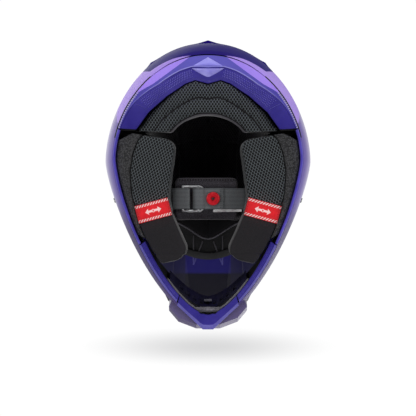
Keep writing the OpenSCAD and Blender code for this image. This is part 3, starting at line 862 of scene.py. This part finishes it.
# the faceted jewel in the rear trim
z0 = lift(130) - 0.1
gem_pts = [(-19, 131.2, z0 + 0.6), (19, 131.2, z0 + 0.6), (0, 116.9, z0 + 1.2),
           (-13.5, 129.6, z0 - 0.9), (13.5, 129.6, z0 - 0.9), (0, 119.6, z0 - 0.5), (0, 126.9, z0 - 1.5),
           (-19, 131.2, z0 + 4), (19, 131.2, z0 + 4), (0, 116.9, z0 + 4)]
gem_faces = [(0, 1, 4, 3), (1, 2, 5, 4), (2, 0, 3, 5), (3, 4, 6), (4, 5, 6), (5, 3, 6),
             (0, 7, 8, 1), (1, 8, 9, 2), (2, 9, 7, 0), (7, 9, 8)]
gem = solid("trim_jewel", gem_pts, gem_faces, 5)
bevel(gem, 0.35, 2, 10, 20)
up_pts = [(-17.2, 134.2, z0 + 0.55), (17.2, 134.2, z0 + 0.55), (0, 144.3, z0 + 2.3), (0, 136.6, z0 - 0.35),
          (-17.2, 134.2, z0 + 4), (17.2, 134.2, z0 + 4), (0, 144.3, z0 + 5)]
up_faces = [(0, 1, 3), (1, 2, 3), (2, 0, 3), (0, 4, 5, 1), (1, 5, 6, 2), (2, 6, 4, 0), (4, 6, 5)]
crest = solid("trim_crest", up_pts, up_faces, 5)
bevel(crest, 0.3, 2, 10, 20)
gem_mat = moulded("jewel_plastic", "#b4afee", "#938cd8", 0.34, coat=0.3)
give(gem, gem_mat, "helmet")
give(crest, moulded("crest_plastic", "#b4affa", "#a09bf0", 0.4, coat=0.2), "helmet")


def band(name, a0, a1, steps, inner, profile):
    """A run of the bottom edge. profile: (share from outer to inner edge, height over the edge)."""
    rings, uv = [], []
    for i in range(steps + 1):
        a = mix(a0, a1, i / steps)
        o, q = outline(FOOT, a), inner(a)
        ring, ruv = [], []
        for t, h in profile:
            x, y = mix(o[0], q[0], t), mix(o[1], q[1], t)
            ring.append((x, y, lift(y) + h))
            ruv.append((i / steps, t))
        rings.append(ring)
        uv.append(ruv)
    return ring_solid(name, rings, 14, uv)


front_profile = [(0, 6), (0, 2.1), (0.02, 1.7), (0.26, 0.12), (0.29, 0.0), (0.32, 0.1), (0.36, 0.75),
                 (0.9, 0.75), (0.93, 0.4), (0.97, 0.35), (1, 0.7), (1, 6)]
front_inner = lambda a: outline(FOOT, a, 9.5)
seal_inner = lambda a: outline(FOOT, a, SHELL_T)


def front_place(f, t):
    a = mix(CHIN_A + 0.2, FRONT_A, f)
    o, q = outline(FOOT, a), front_inner(a)
    return mix(o[0], q[0], t), mix(o[1], q[1], t)


front_mat = trim_material("front_trim_plastic", "#3b3290", "#332a88")
chin_mat = trim_material("chin_trim_plastic", "#362d8c", "#2d2480")
pat_mat = moulded("front_pattern", "#5c54b4", "#4b43a2", 0.42)
for side, word in ((1, "left"), (-1, "right")):
    ob = band("front_trim_" + word, CHIN_A + 0.2, FRONT_A, 90, front_inner, front_profile)
    parts = []
    n = 46
    for i in range(2, n):
        f = i / n
        k = smooth((f - 0.25) / 0.3)
        rows_ = 1 if f < 0.28 else 4
        for j in range(rows_):
            t = mix(0.42, 0.86, (j + 0.5) / rows_)
            shift = (0.25 if j % 2 else -0.25) / n if rows_ > 1 else 0
            shape = (0.28 / n, 0.17, -0.2 / n) if rows_ == 1 else (0.2 / n, 0.04, 0)
            parts.append(dash(front_place, lambda *at: 0.75, f + shift, t, *shape, 0.45))
    pat = many("front_trim_pattern_" + word, parts)
    if side < 0:
        mirror(ob)
        mirror(pat)
    give(ob, front_mat, "helmet", ["bottom_trim_front_" + word])
    give(pat, pat_mat, "helmet")

LIP_SIDE, LIP_TIP, LIP_SLOPE = (35.4, -146.8), 6.1, 0.945     # the chin's straight outer edge
MOUTH_FRONT, MOUTH_SIDE = -156.0, (34.0, -129.5)             # its flat inner edge
chin_rings, chin_uv = [], []
for i in range(121):
    a = mix(-180 - CHIN_A + 0.2, CHIN_A - 0.2, i / 120)
    o, q = outline(FOOT, a), front_inner(a)
    k = smooth((abs(o[0]) - 5.5) / 4)           # the side facets stop at the flat front
    lip_y = LIP_SIDE[1] - (LIP_SIDE[0] - max(LIP_TIP, abs(o[0]))) * LIP_SLOPE
    o = (o[0], min(o[1], lip_y))
    flat = min(q[1], max(MOUTH_FRONT, MOUTH_SIDE[1] - (MOUTH_SIDE[0] - abs(q[0])) * 1.05))
    near = smooth((33.0 - abs(q[0])) / 10.0)
    q = (q[0], mix(q[1], max(flat, o[1] + 5.5), near))
    ring, ruv = [], []
    for t, h in [(0, 6), (0, 2.4), (0.02, 2.0), (mix(0.14, 0.3, k), 0.5), (mix(0.2, 0.36, k), 0.0),
                 (0.5, 0.1), (0.92, 0.3), (0.98, 0.5), (1, 0.9), (1, 6)]:
        x, y = mix(o[0], q[0], t), mix(o[1], q[1], t)
        ring.append((x, y, lift(y) + h))
        ruv.append((i / 120, t))
    chin_rings.append(ring)
    chin_uv.append(ruv)
chin_trim = ring_solid("chin_trim", chin_rings, 14, chin_uv)
give(chin_trim, chin_mat, "helmet", ["bottom_trim_chin"])

seal_profile = [(0, 6), (-0.05, 3.2), (0, 1.6), (0.12, 0.7), (0.35, 0.05), (0.7, 0.0), (0.92, 0.35),
                (1, 1.0), (1, 6)]
side_mat = trim_material("side_trim_rubber", "#5c50b8", "#4a40a4")
for side, word in ((1, "left"), (-1, "right")):
    ob = band("side_edging_" + word, FRONT_A + 0.4, REAR_A, 120, seal_inner, seal_profile)
    if side < 0:
        mirror(ob)
    give(ob, side_mat, "helmet", ["edge_seal_" + word])

# the dark reveal between shell and trim
for side, word in ((1, "left"), (-1, "right")):
    path = []
    for i in range(70):
        a = mix(14.0, 54.0, i / 69)
        x, y = outline(level(0.1), a)
        path.append((side * (x + 0.25), y + 0.1, lift(y) + 5.2))
    ob = tube("reveal_" + word, path, 1.0, 8)
    give(ob, black_plastic, "helmet")

# ---------------------------------------------------------------- cheek pads
SPLIT_LINE = (-49.0, 0.27)      # the smooth cloth starts in front of y = a + b * x, under the tab


def cheek_cloth(side):
    def plain(m):
        x, y, z = m.place
        return (y + x * (-side * SPLIT_LINE[1]) - SPLIT_LINE[0]).ramp(0.6, -0.6)
    return mesh_cloth("cheek_cloth_" + ("left" if side > 0 else "right"), "#6a7175", "#010102", 3.6, plain,
                      ("#2b282c", "#161418"), turn=18 * side)


for side, word in ((1, "left"), (-1, "right")):
    body = "cheek_" + word
    pad = padded_from("cheek_pad_" + word, "cheek_cushion_" + word, 1.5, 26)
    # seam under the tab, seam near the front end and the sewn rim
    groove(pad, lambda co: (co[:, 1] - side * SPLIT_LINE[1] * co[:, 0] - SPLIT_LINE[0]), 0.9, 1.3)
    groove(pad, lambda co: (co[:, 1] - side * 0.02 * co[:, 0] + 87.0
                            + 0.0036 * (side * co[:, 0] - 48) ** 2), 1.0, 1.2)
    co, no = coords(pad), normals(pad)
    side_in = np.clip(-no[:, 0] * side, 0, 1)
    bulge = 1.12 * side_in * np.sin(np.clip((co[:, 2] - 6) / 80, 0, 1) * math.pi)
    co = co + no * bulge[:, None]
    set_coords(pad, co)
    groove(pad, lambda co: co[:, 2] - 12.5, 0.8, 1.2, lambda co, no: np.clip(1 - abs(no[:, 2]) * 1.2, 0, 1))
    puff(pad, 0.35, 14, side * 3.1)
    give(pad, cheek_cloth(side), body, ["cheek_pad_" + word])
    base = padded_from("cheek_foam_" + word, "cheek_base_" + word, 1.2, 3)
    puff(base, 0.12, 3, side * 1.7)
    give(base, foam_grey, body, ["cheek_foam_" + word])

# ---------------------------------------------------------------- pull tabs
def tab_cloth(side):
    m = Mat("tab_tape_" + ("left" if side > 0 else "right"), rough=0.62, sheen=0.2, specular=0.35)
    u, v = m.uv()
    u, v = u * 100.0, v * 100.0
    av = abs(v)
    edge = av.ramp(6.9, 7.05) * av.ramp(9.9, 9.75)
    slant = ((u + v * 0.9 + 100.0) / 3.3).fract()
    dashes = edge * slant.ramp(0.42, 0.48) * slant.ramp(1.0, 0.96)

    def arrow(du, way):
        a = (u - du) * way
        head = (abs(v) - (3.6 - (a - 0.0) * 0.9)).ramp(0.12, -0.12) * a.ramp(-0.12, 0.12) * a.ramp(4.0, 3.9)
        stem = abs(v).ramp(1.35, 1.15) * a.ramp(-5.0, -4.85) * a.ramp(0.1, 0.0)
        return head.most(stem)
    marks = arrow(5.6, 1.0).most(arrow(-5.6, -1.0))
    ring = (u * u + v * v).sqrt()
    marks = marks.most(ring.ramp(2.0, 1.85) * ring.ramp(1.1, 1.25))
    weave = ((u * 6.5).sin() * (v * 6.5).sin()) * 0.5 + 0.5
    red = m.colour("#c3141f", "#e8222f", (weave * 0.4 + m.noise(4, 3) * 0.6).ramp(0.2, 0.8))
    white = m.colour("#e7dfdc", "#f7f3f1", weave)
    hem = abs(u).ramp(19.0, 19.4)
    m.base(m.colour(m.colour(red, white, dashes.most(marks)), "#8c0d16", hem * 0.5))
    m.bump(weave, 0.35, 0.12)
    return m


for side, word in ((1, "left"), (-1, "right")):
    cx, cy, turn_ = side * 63.5, -35.0, math.radians(-15 * side)
    nu, nv = 48, 26

    def on_tab(u, v):
        """A place on the tape: u along it and v across it."""
        return (cx + u * math.cos(turn_) - v * math.sin(turn_), cy + u * math.sin(turn_) + v * math.cos(turn_))

    verts, uv = [], []
    for face, h in ((0, 0.0), (1, 0.55)):
        for j in range(nv + 1):
            for i in range(nu + 1):
                u, v = mix(-20.0, 20.0, i / nu), mix(-10.5, 10.5, j / nv)
                ends = smooth((abs(u) - 16.5) / 4.0)
                z = 2.75 + h + 0.12 * math.sin(u * 0.33 + side) + 0.1 * math.sin(v * 0.5) + 0.75 * ends
                verts.append((*on_tab(u, v), z))
                uv.append((u / 100, v / 100))
    w = nu + 1
    k = w * (nv + 1)
    faces = []
    for j in range(nv):
        for i in range(nu):
            a = j * w + i
            faces += [(a, a + 1, a + w + 1, a + w), (k + a, k + a + w, k + a + w + 1, k + a + 1)]
    border = list(range(nu)) + [j * w + nu for j in range(nv)]
    border += [nv * w + i for i in range(nu, 0, -1)] + [j * w for j in range(nv, 0, -1)]
    faces += [(a, k + a, k + b, b) for a, b in zip(border, border[1:] + border[:1])]
    tab = solid("pull_tape_" + word, verts, faces, 50, uv)
    give(tab, tab_cloth(side), "cheek_" + word, ["pull_tab_" + word])
    # stitching at the tab's two ends
    parts = []
    for u in (-18.2, 18.2):
        for j in range(7):
            v = -8.4 + j * 2.8
            a = [on_tab(u + s, v + q) for s, q in ((-0.25, -0.8), (0.25, -0.8), (0.25, 0.8), (-0.25, 0.8))]
            zz = 2.75 + 0.12 * math.sin(u * 0.33 + side) + 0.75 * smooth(1.7 / 4) + 0.1 * math.sin(v * 0.5)
            parts.append(([(x, y, zz + 0.05) for x, y in a]
                          + [(mix(x, cx, 0.002), y, zz - 0.22) for x, y in a],
                          BAR_FACES))
    stitch = many("tab_stitches_" + word, parts)
    give(stitch, knit("red_thread_" + word, "#b81420", "#8a0d17", 0.4), "cheek_" + word)

# ---------------------------------------------------------------- neck roll
def roll_rows(f):
    ox, oy = rear_inner(f)
    n_ = Vector((-ox * 0.8, 38 - oy)).normalized()
    ox, oy = ox + n_.x * 1.0, oy + n_.y * 1.0
    a = math.radians(90 - f * 61.4)
    ix, iy = 47.6 * math.cos(a), 38 + 38.2 * math.sin(a)
    pts, uv = [], []
    prof = [(0.03, 35.4), (0.0, 33.0), (0.0, 24.0), (0.0, 15.5), (0.008, 14.0)]
    seam = 0.47
    for k in range(1, 15):
        q = k / 14
        prof.append((seam * q, 14.0 - 3.1 * math.sin(math.pi * q) ** 0.62 + 0.8 * q))
    for k in range(1, 15):
        q = k / 14
        prof.append((mix(seam, 0.93, q), 14.8 - 3.4 * math.sin(math.pi * min(1, q * 1.02)) ** 0.62 + 0.5 * q))
    prof += [(0.95, 15.9), (0.975, 16.5), (0.993, 17.8), (1.0, 20.0), (1.0, 27), (0.997, 33),
             (0.975, 35.6), (0.5, 36.0)]
    for t, z in prof:
        pts.append((mix(ox, ix, t), mix(oy, iy, t), z))
        uv.append((f, t))
    return pts, uv


fs = [-1 + 2 * i / 150 for i in range(151)]
rows, uvs = [], []
for f in fs:
    p, u = roll_rows(f)
    k = smooth((1 - abs(f)) / 0.05)
    mid = np.mean(np.array(p), 0)
    p = [tuple(mid + (np.array(q) - mid) * (0.9 + 0.1 * math.sqrt(k))) for q in p]
    rows.append(p)
    uvs.append(u)
roll = ring_solid("neck_cushion", rows, 0, uvs)
puff(roll, 0.25, 12, 5.0)
roll_cloth = mesh_cloth("neck_cloth", "#6a7175", "#010102", 3.6, lambda m: m.uv()[1].ramp(0.93, 0.945),
                        ("#77747b", "#46444a"))
give(roll, roll_cloth, "helmet", ["neck_roll"])
for name_, share, z, rad in (("neck_piping_seam", 0.47, 13.9, 0.75), ("neck_piping_edge", 0.935, 14.6, 0.7)):
    path = []
    for f in [-0.985 + 1.97 * i / 120 for i in range(121)]:
        p, u = roll_rows(f)
        a, b = np.array(p[3]), np.array(p[-4])
        path.append((mix(a[0], b[0], share), mix(a[1], b[1], share), z))
    give(tube(name_, path, rad, 8), lining, "helmet")

# ---------------------------------------------------------------- inside of the helmet
def cavity(d, name, turn=120):
    rise = [0.0] + [0.1 * i for i in range(1, 4)] + [0.34 + 0.03 * i for i in range(20)]
    rise += [0.93, 0.95, 0.966, 0.98, 0.99, 0.997]
    rings = []
    for h in rise:
        k = math.sqrt(max(0.0004, 1 - max(0, (h - 0.4) / 0.6) ** 2.3))
        rings.append([((82 - d) * k * math.cos(t), 22 + (96 - d) * k * math.sin(t), h * (232 - d))
                      for t in (2 * math.pi * i / turn for i in range(turn))])
    return ring_solid(name, rings, 0)


liner = cut(cavity(0.3, "crown_cushion"), cavity(8, "hollow"), port(4),
            cuboid("a", (-125, -200, -1), (125, 57, 104)), cuboid("b", (-125, -200, -1), (125, 200, 40)),
            cuboid("c", (-125, -200, 60), (125, -50, 164)), sharp=0)
soften(liner, 2.6, 4)
inner_only = lambda co, no: ((no * (co - np.array([0, 22, 110]))).sum(1) < 0).astype(float)
groove(liner, lambda co: co[:, 0], 2.2, 1.8, inner_only)
groove(liner, lambda co: np.abs(co[:, 0]) - 34 - 0.002 * (co[:, 1] - 22) ** 2, 2.4, 2.0, inner_only)
groove(liner, lambda co: co[:, 1] - 58 + 0.25 * np.abs(co[:, 0]), 2.2, 2.0, inner_only)
groove(liner, lambda co: co[:, 1] + 6, 2.0, 2.0, inner_only)
crown_cloth = mesh_cloth("crown_cloth", "#3a363c", "#100e12", 3.2)
give(liner, crown_cloth, "helmet", ["crown_liner"])
dress("crown_foam", foam_black, 0)
dress("chin_foam", foam_black, 0)

# brow pad with its centre seam
plan = chaikin([(-46, -47), (-27, -55.5), (-9, -68.5), (0, -70.5), (9, -68.5), (27, -55.5), (46, -47),
                (30, -44), (0, -46), (-30, -44)],
               3, True)
brow = prism("brow_cushion", [tuple(p) for p in plan], 165.5, 173.2)
soften(brow, 1.1, 16)
groove(brow, lambda co: co[:, 0], 1.3, 1.2)
give(brow, knit("brow_cloth", "#121014", "#070609", 1.0, 0.05), "helmet")
rim = [(x, y - 0.3, 166.6) for x, y in chaikin(
    [(-45, -47.5), (-27, -56), (-9, -69), (0, -71), (9, -69), (27, -56), (45, -47.5)], 3)]
give(tube("brow_edging", rim, 1.0, 8), edge_knit, "helmet")

# thin ribs under the port's upper edge
parts = []
for side in (-1, 1):
    for (xa, ya), (xb, yb), wide in (((18.3, -67), (18.3, -104), 0.8), ((6.6, -74), (18.3, -104), 0.8)):
        d = Vector((xb - xa, yb - ya)).normalized()
        n_ = Vector((-d.y, d.x)) * wide
        low_a, low_b, top = 170.5, 169.0, 176.0
        verts = []
        for (x, y), z in (((xa, ya), low_a), ((xb, yb), low_b)):
            for s in (-1, 1):
                for zz in (z, top):
                    verts.append((side * (x + s * n_.x), y + s * n_.y, zz))
        faces = [(0, 1, 3, 2), (4, 6, 7, 5), (0, 4, 5, 1), (2, 3, 7, 6), (0, 2, 6, 4), (1, 5, 7, 3)]
        parts.append((verts, faces))
ribs = bevel(many("brow_ribs", parts), 0.35, 2)
m = Mat("rib_plastic", rough=0.4)
x, y, z = m.place
m.base(m.colour("#4a484d", "#3c3880", y.ramp(-92, -98)))
m.bump(m.noise(0.6, 3), 0.2, 0.06)
give(ribs, m, "helmet")

# ---------------------------------------------------------------- chin bar's lining
dress("chin_felt", felt, 0)
dress("chin_louvre", moulded("louvre_plastic", "#1b1740", "#110e30", 0.5), 0.3)
dress("louvre_clip", moulded("clip_plastic", "#a9a8b2", "#85848e", 0.4), 0.4)
LIP_IN, LIP_UP = 12.2, 12.5
lip = []
for i in range(65):
    a = mix(-124, -56, i / 64)
    x, y = outline(level(0.75), a, LIP_IN)
    y = max(y, -151.5)
    lip.append((x, y, lift(y) + LIP_UP))
lip_tube = tube("chin_lip", lip, 3.0, 12)
puff(lip_tube, 0.5, 2.5, 2.0)
give(lip_tube, lip_felt, "helmet")

# ---------------------------------------------------------------- strap
STRAP_Y, SNAP_X = -21.0, -6


def shell_x(s, y, d):
    r = level(s)
    k = r[4]
    t = (MID_Y - y) / inset(r[2], FRONT_LEN, d)
    return inset(r[1], HALF_W, d) * (1 - t ** (2 / (1 + 0.43 * k))) ** ((1 + 0.26 * k) / 2)


ANCHOR_X = shell_x(3.05, STRAP_Y, SHELL_T) - 2.4
SIDE_RUN = [(44, 43.4), (46.5, 47), (56, 76), (63, 82), (ANCHOR_X - 16, 84), (ANCHOR_X - 6, 84)]
LEFT_RUN = SIDE_RUN[::-1] + [(37, 44), (24, 44), (22, 42.6), (22, 36.2), (24, 34.6), (36, 34.6), (41, 38)]
RIGHT_RUN = [(-x, z) for x, z in SIDE_RUN[::-1]] + [
    (-38, 42), (-24, 38.8), (0.3, 38.8), (1.5, 43.8), (5, 45.2), (14.5, 45.2), (17.3, 42.5),
    (17.3, 34.5), (14.5, 31.4), (8.5, 31.4), (5.4, 33), (2.6, 36.4), (-18, 36.4)]


def webbing(name, run, wide=25.0, thick=1.6):
    """Flat webbing along (x, z) points, with rounded selvedges."""
    path = chaikin(run, 2)
    dense = []
    for a, b in zip(path, path[1:]):
        n = max(1, int(np.linalg.norm(b - a) / 1.6))
        dense += [a + (b - a) * k / n for k in range(n)]
    path = dense + [path[-1]]
    total, rings, uv = 0.0, [], []
    for i, p in enumerate(path):
        a, b = path[max(0, i - 1)], path[min(len(path) - 1, i + 1)]
        d = (b - a) / np.linalg.norm(b - a)
        n = np.array([-d[1], d[0]])
        if i:
            total += float(np.linalg.norm(p - path[i - 1]))
        ring, ruv = [], []
        across = [-12.5, -12.2, -11.6] + [-10.8 + 21.6 * k / 18 for k in range(19)] + [11.6, 12.2, 12.5]
        for way in (1, -1):
            for w_ in (across if way > 0 else across[::-1]):
                e = (abs(w_) - 11.6) / 0.9
                h = thick / 2 * (1 if e < 0 else math.sqrt(max(0.02, 1 - e * e * 0.95)))
                q = p + n * h * way
                ring.append((q[0], STRAP_Y + w_ * wide / 25, q[1]))
                ruv.append((total / 100, w_ / 100))
        rings.append(ring)
        uv.append(ruv)
    return ring_solid(name, rings, 50, uv)


def web_cloth():
    m = Mat("webbing", rough=0.58, sheen=0.15, specular=0.4)
    u, v = m.uv()
    u, v = u * 100.0, v * 100.0
    rib = (v * (2 * math.pi / 1.55)).sin() * 0.5 + 0.5
    pick = (u * (2 * math.pi / 1.3) + (v / 1.55).op("FLOOR") * math.pi).sin() * 0.5 + 0.5
    weave = rib.sqrt() * 0.6 + pick * 0.4
    selvedge = abs(v).ramp(10.6, 11.2)
    c = m.colour("#34373a", "#7c8083", (weave * 0.75 + m.noise(1.0, 3) * 0.25).ramp(0.15, 0.9))
    m.base(m.colour(c, "#55595c", selvedge * 0.5))
    m.bump(weave, 0.6, 0.25)
    return m


web = web_cloth()
strap_l = webbing("webbing_left", LEFT_RUN)
snap_hole = round_rod(2.7, 30, 60, (SNAP_X, STRAP_Y, 0), (0, 0, 1), 24)
strap_r = cut(webbing("webbing_right", RIGHT_RUN), snap_hole, sharp=50)
give(strap_l, web, "helmet", ["strap_left"])
give(strap_r, web, "helmet", ["strap_right"])

# bar-tack stitches on the webbing
parts = []
for x, zz in ((-14.6, 35.45), (-16.4, 35.45), (38.6, 35.6)):
    for j in range(10):
        yy = STRAP_Y - 10.4 + j * 2.3
        q = [(x - 0.35, yy - 0.75), (x + 0.35, yy - 0.5), (x + 0.35, yy + 0.75), (x - 0.35, yy + 0.5)]
        parts.append(([(a, b, zz + 0.2) for a, b in q] + [(a, b, zz - 0.3) for a, b in q],
                      BAR_FACES))
give(many("webbing_stitches", parts), knit("thread", "#6b6f72", "#45484a", 0.4), "helmet")

# padded sleeve behind the webbing
plan = []
for cx, cy, a0 in ((31, 19, 0), (-31, 19, 90), (-31, -19, 180), (31, -19, 270)):
    plan += [(2 + cx + 6 * math.cos(t), STRAP_Y + cy + 6 * math.sin(t))
             for t in (math.radians(a0 + 9 * k) for k in range(11))]
sleeve = prism("sleeve_cushion", plan, 46.3, 53.3)
soften(sleeve, 1.1, 14)
groove(sleeve, lambda co: np.abs(co[:, 1] - STRAP_Y) - 19.5, 1.1, 1.1,
       lambda co, no: (np.abs(no[:, 2]) > 0.5) * 1.0)
co = coords(sleeve)
co[:, 2] += 1.2 * np.sin((co[:, 0] - 2) / 74 * math.pi * 2.0) * 0.4
set_coords(sleeve, co)
m = knit("sleeve_cloth", "#3a383c", "#1b191c", 1.0, 0.3)
x, y, z = m.place
hole = ((x / 3.2).fract() - 0.5)
row = (y - STRAP_Y - 22.4)
hole = (hole * hole * 10.24 + row * row).sqrt().ramp(1.0, 0.75)
m.base(m.colour(m.colour("#2c2a2e", "#504c54", m.noise(1.0, 3).ramp(0.3, 0.7)), "#040404", hole))
give(sleeve, m, "helmet", ["strap_sleeve"])

# silvery lining of the webbing's folded end
wedge_rings = []
for i in range(25):
    q = i / 24
    x = -6.0 - 34 * q
    wide = 2.6 + 5.2 * q
    y = -36.6 + 1.2 * q
    z = 40.4 + 2.2 * q
    near, far = y - wide * 0.12, y + wide
    wedge_rings.append([(x, near, z), (x, far, z + 0.5), (x, far, z + 1.2), (x, near, z + 0.7)])
wedge = bevel(ring_solid("reflective_lining", wedge_rings, 30), 0.15, 1)
m = Mat("reflective_cloth", rough=0.4, metal=0.0, sheen=0.3)
m.base(m.colour("#c9c4c8", "#ffffff", m.noise(7, 3, stretch=(1, 2.5, 1)).ramp(0.35, 0.6)))
m.bump(m.noise(0.6, 2), 0.3, 0.1)
give(wedge, m, "helmet")

dress("d_ring_upper", steel, 0)
dress("d_ring_lower", steel, 0)
button = [(0.3, 34.4), (2.7, 34.4), (2.85, 34.0), (2.9, 32.75), (3.05, 32.45), (3.9, 32.35), (4.1, 32.55),
          (4.5, 32.6), (4.75, 32.35), (6.4, 32.4), (6.6, 32.62), (6.85, 32.6), (7.05, 32.45), (7.6, 32.75),
          (7.95, 33.4), (8.0, 34.2), (7.8, 35.0), (7.2, 35.3), (2.4, 35.3), (2.4, 39.8), (0.3, 39.8)]
cap = lathe("snap_button", button, (SNAP_X, STRAP_Y), 72)
red = Mat("red_button", rough=0.26, coat=0.4, coat_rough=0.12)
red.base(fade(red, "#e2202e", "#cf1826", 4))
red.bump(red.noise(0.7, 3), 0.08, 0.05)
give(cap, red, "helmet", ["snap_cap"])
stud = lathe("snap_stud", [(0.2, 33.2), (1.0, 33.2), (1.5, 33.45), (1.6, 34.05), (0.2, 34.05)],
             (SNAP_X, STRAP_Y), 32)
give(stud, black_plastic, "helmet")
dress("snap_socket", dull_steel, 0.2)
for n in ("strap_anchor_left", "strap_anchor_right", "anchor_rivets"):
    dress(n, dull_steel, 0.25)

# ---------------------------------------------------------------- mouthpiece
m = Mat("mouthpiece_paint", rough=0.38, coat=0.25)
x, y, z = m.place
m.base(m.colour(m.colour("#5a4f78", "#9a94b0", (z - abs(x) * 0.2).ramp(26, 60)), "#5a4fb4", z.ramp(62, 74)))
m.rough(m.noise(5, 4) * 0.14 + 0.3)
m.bump(m.noise(0.7, 3), 0.12, 0.05)
dress("mouthpiece", m, 0.8, 3)
dress("mouthpiece_grille", black_plastic, 0.3)

# ---------------------------------------------------------------- visor
m = Mat("visor_plastic", rough=0.34, coat=0.3, coat_rough=0.18)
x, y, z = m.place
nx, ny, nz = m.facing()
ax = abs(x)
stripe = (ax * 1.0 + y * 0.30)
top = m.colour("#4336a8", "#5b4dc2", m.noise(60, 3))
top = m.colour(top, "#31228c", stripe.ramp(-8.0, -9.0))
top = m.colour(top, "#b497f2", stripe.ramp(-9.2, -8.6) * stripe.ramp(-2.5, -3.2))
down = m.split(m.tex.outputs["Normal"])[2].ramp(0.1, -0.1)
inner = m.colour("#1b1660", "#090716", (y + 118.0).ramp(2.0, -2.0))
inner = m.colour(inner, "#100d28", ax.ramp(29.0, 31.0) * 0.7)
top = m.colour(top, inner, down)
m.base(top)
m.rough(m.noise(6, 4) * 0.12 + 0.3)
m.bump(m.noise(0.8, 3), 0.1, 0.05)
visor_mat = m
dress("visor", visor_mat, 0.7, 3)
ear_mat = painted("ear_paint", "#4f42b8", "#43379f")
for n in ("visor_ear_left", "visor_ear_right"):
    dress(n, ear_mat, 0.6, 3)
dress("visor_tongue", ear_mat, 0.4)
for n in ("visor_screw_left", "visor_screw_right", "top_screw"):
    dress(n, black_plastic, 0.5, 3)
for n in ("visor_boss_left", "visor_boss_right", "top_boss"):
    dress(n, black_plastic, 0.3)
dress("exhaust_vents", black_plastic, 0.5)

# ---------------------------------------------------------------- stage, lights and camera
def plane(name, size, z, mat, down=False):
    me = bpy.data.meshes.new(name)
    h = size / 2
    pts = [(-h, -h, z), (h, -h, z), (h, h, z), (-h, h, z)]
    me.from_pydata(pts, [], [(0, 1, 2, 3) if not down else (3, 2, 1, 0)])
    me.materials.append(mat)
    ob = link(name, me)
    return ob


floor_mat = bpy.data.materials.new("floor")
floor_mat.use_nodes = True
t = floor_mat.node_tree
geo, clear, blend_ = (t.nodes.new("ShaderNode" + k) for k in ("NewGeometry", "BsdfTransparent", "MixShader"))
t.nodes["Principled BSDF"].inputs["Base Color"].default_value = (0.86, 0.86, 0.87, 1)
t.nodes["Principled BSDF"].inputs["Roughness"].default_value = 0.6
t.links.new(geo.outputs["Backfacing"], blend_.inputs[0])
t.links.new(t.nodes["Principled BSDF"].outputs[0], blend_.inputs[1])
t.links.new(clear.outputs[0], blend_.inputs[2])
t.links.new(blend_.outputs[0], t.nodes["Material Output"].inputs["Surface"])
floor = plane("floor", 14.0, -0.0006, floor_mat)
floor.visible_shadow = False

# the backdrop glows evenly white, with a painted shadow under the chin
back_mat = bpy.data.materials.new("backdrop_painted_shadow")
back_mat.use_nodes = True
t = back_mat.node_tree
t.nodes.remove(t.nodes["Principled BSDF"])
glow, tex, sep = (t.nodes.new("ShaderNode" + k) for k in ("Emission", "TexCoord", "SeparateXYZ"))
t.links.new(tex.outputs["Object"], sep.inputs[0])
bx, by = Val(t, sep.outputs[0]), Val(t, sep.outputs[1])
# a soft grey ellipse mixed into the glow: a painted shadow of the helmet below its chin
ex, ey = bx / 0.40, (by + 0.46) / 0.062
k = (ex * ex + ey * ey).sqrt().ramp(1.15, 0.0)
painted_shadow_mix = t.nodes.new("ShaderNodeMix")
painted_shadow_mix.data_type = "RGBA"
t.links.new(k.out, painted_shadow_mix.inputs["Factor"])
painted_shadow_mix.inputs[6].default_value = (1.02, 1.02, 1.02, 1)
painted_shadow_mix.inputs[7].default_value = (0.70, 0.70, 0.705, 1)
t.links.new(painted_shadow_mix.outputs[2], glow.inputs["Color"])
t.links.new(glow.outputs[0], t.nodes["Material Output"].inputs["Surface"])
backdrop_painted_shadow = plane("backdrop_painted_shadow", 1.8, 3.0, back_mat, down=True)
backdrop_painted_shadow.visible_glossy = False
backdrop_painted_shadow.visible_diffuse = False


def area(name, place, target, size, power, colour=(1, 1, 1)):
    l = bpy.data.lights.new(name, "AREA")
    l.shape, l.size, l.energy, l.color = "DISK", size, power, colour
    ob = bpy.data.objects.new(name, l)
    ob.location = place
    ob.rotation_mode = "QUATERNION"
    ob.rotation_quaternion = (Vector(target) - Vector(place)).to_track_quat("-Z", "Y")
    bpy.context.scene.collection.objects.link(ob)
    return ob


area("under_left", (1.5, -0.4, -1.5), (0, 0, 0.05), 1.1, 15)
area("under_right", (-1.5, -0.3, -1.5), (0, 0, 0.05), 1.1, 15)
area("under_rear", (0.0, 1.7, -1.2), (0, 0.05, 0.05), 1.0, 12)
area("over_front", (-0.9, -1.7, 2.2), (0, 0, 0.12), 2.8, 30)
area("over_rear", (1.0, 0.9, 2.6), (0, 0, 0.12), 2.4, 14)

world = bpy.data.worlds.new("studio")
bpy.context.scene.world = world
world.use_nodes = True
world.node_tree.nodes["Background"].inputs["Color"].default_value = (0.82, 0.82, 0.83, 1)
world.node_tree.nodes["Background"].inputs["Strength"].default_value = 0.42
bpy.context.scene.view_settings.view_transform = "Standard"

cam_data = bpy.data.cameras.new("camera")
cam_data.sensor_width, cam_data.lens = 36.0, 134.6
cam_data.clip_start, cam_data.clip_end = 0.05, 50
cam = bpy.data.objects.new("camera", cam_data)
cam.location, cam.rotation_euler = (0, -0.032, -1.8), (0, math.pi, 0)
bpy.context.scene.collection.objects.link(cam)
bpy.context.scene.camera = cam
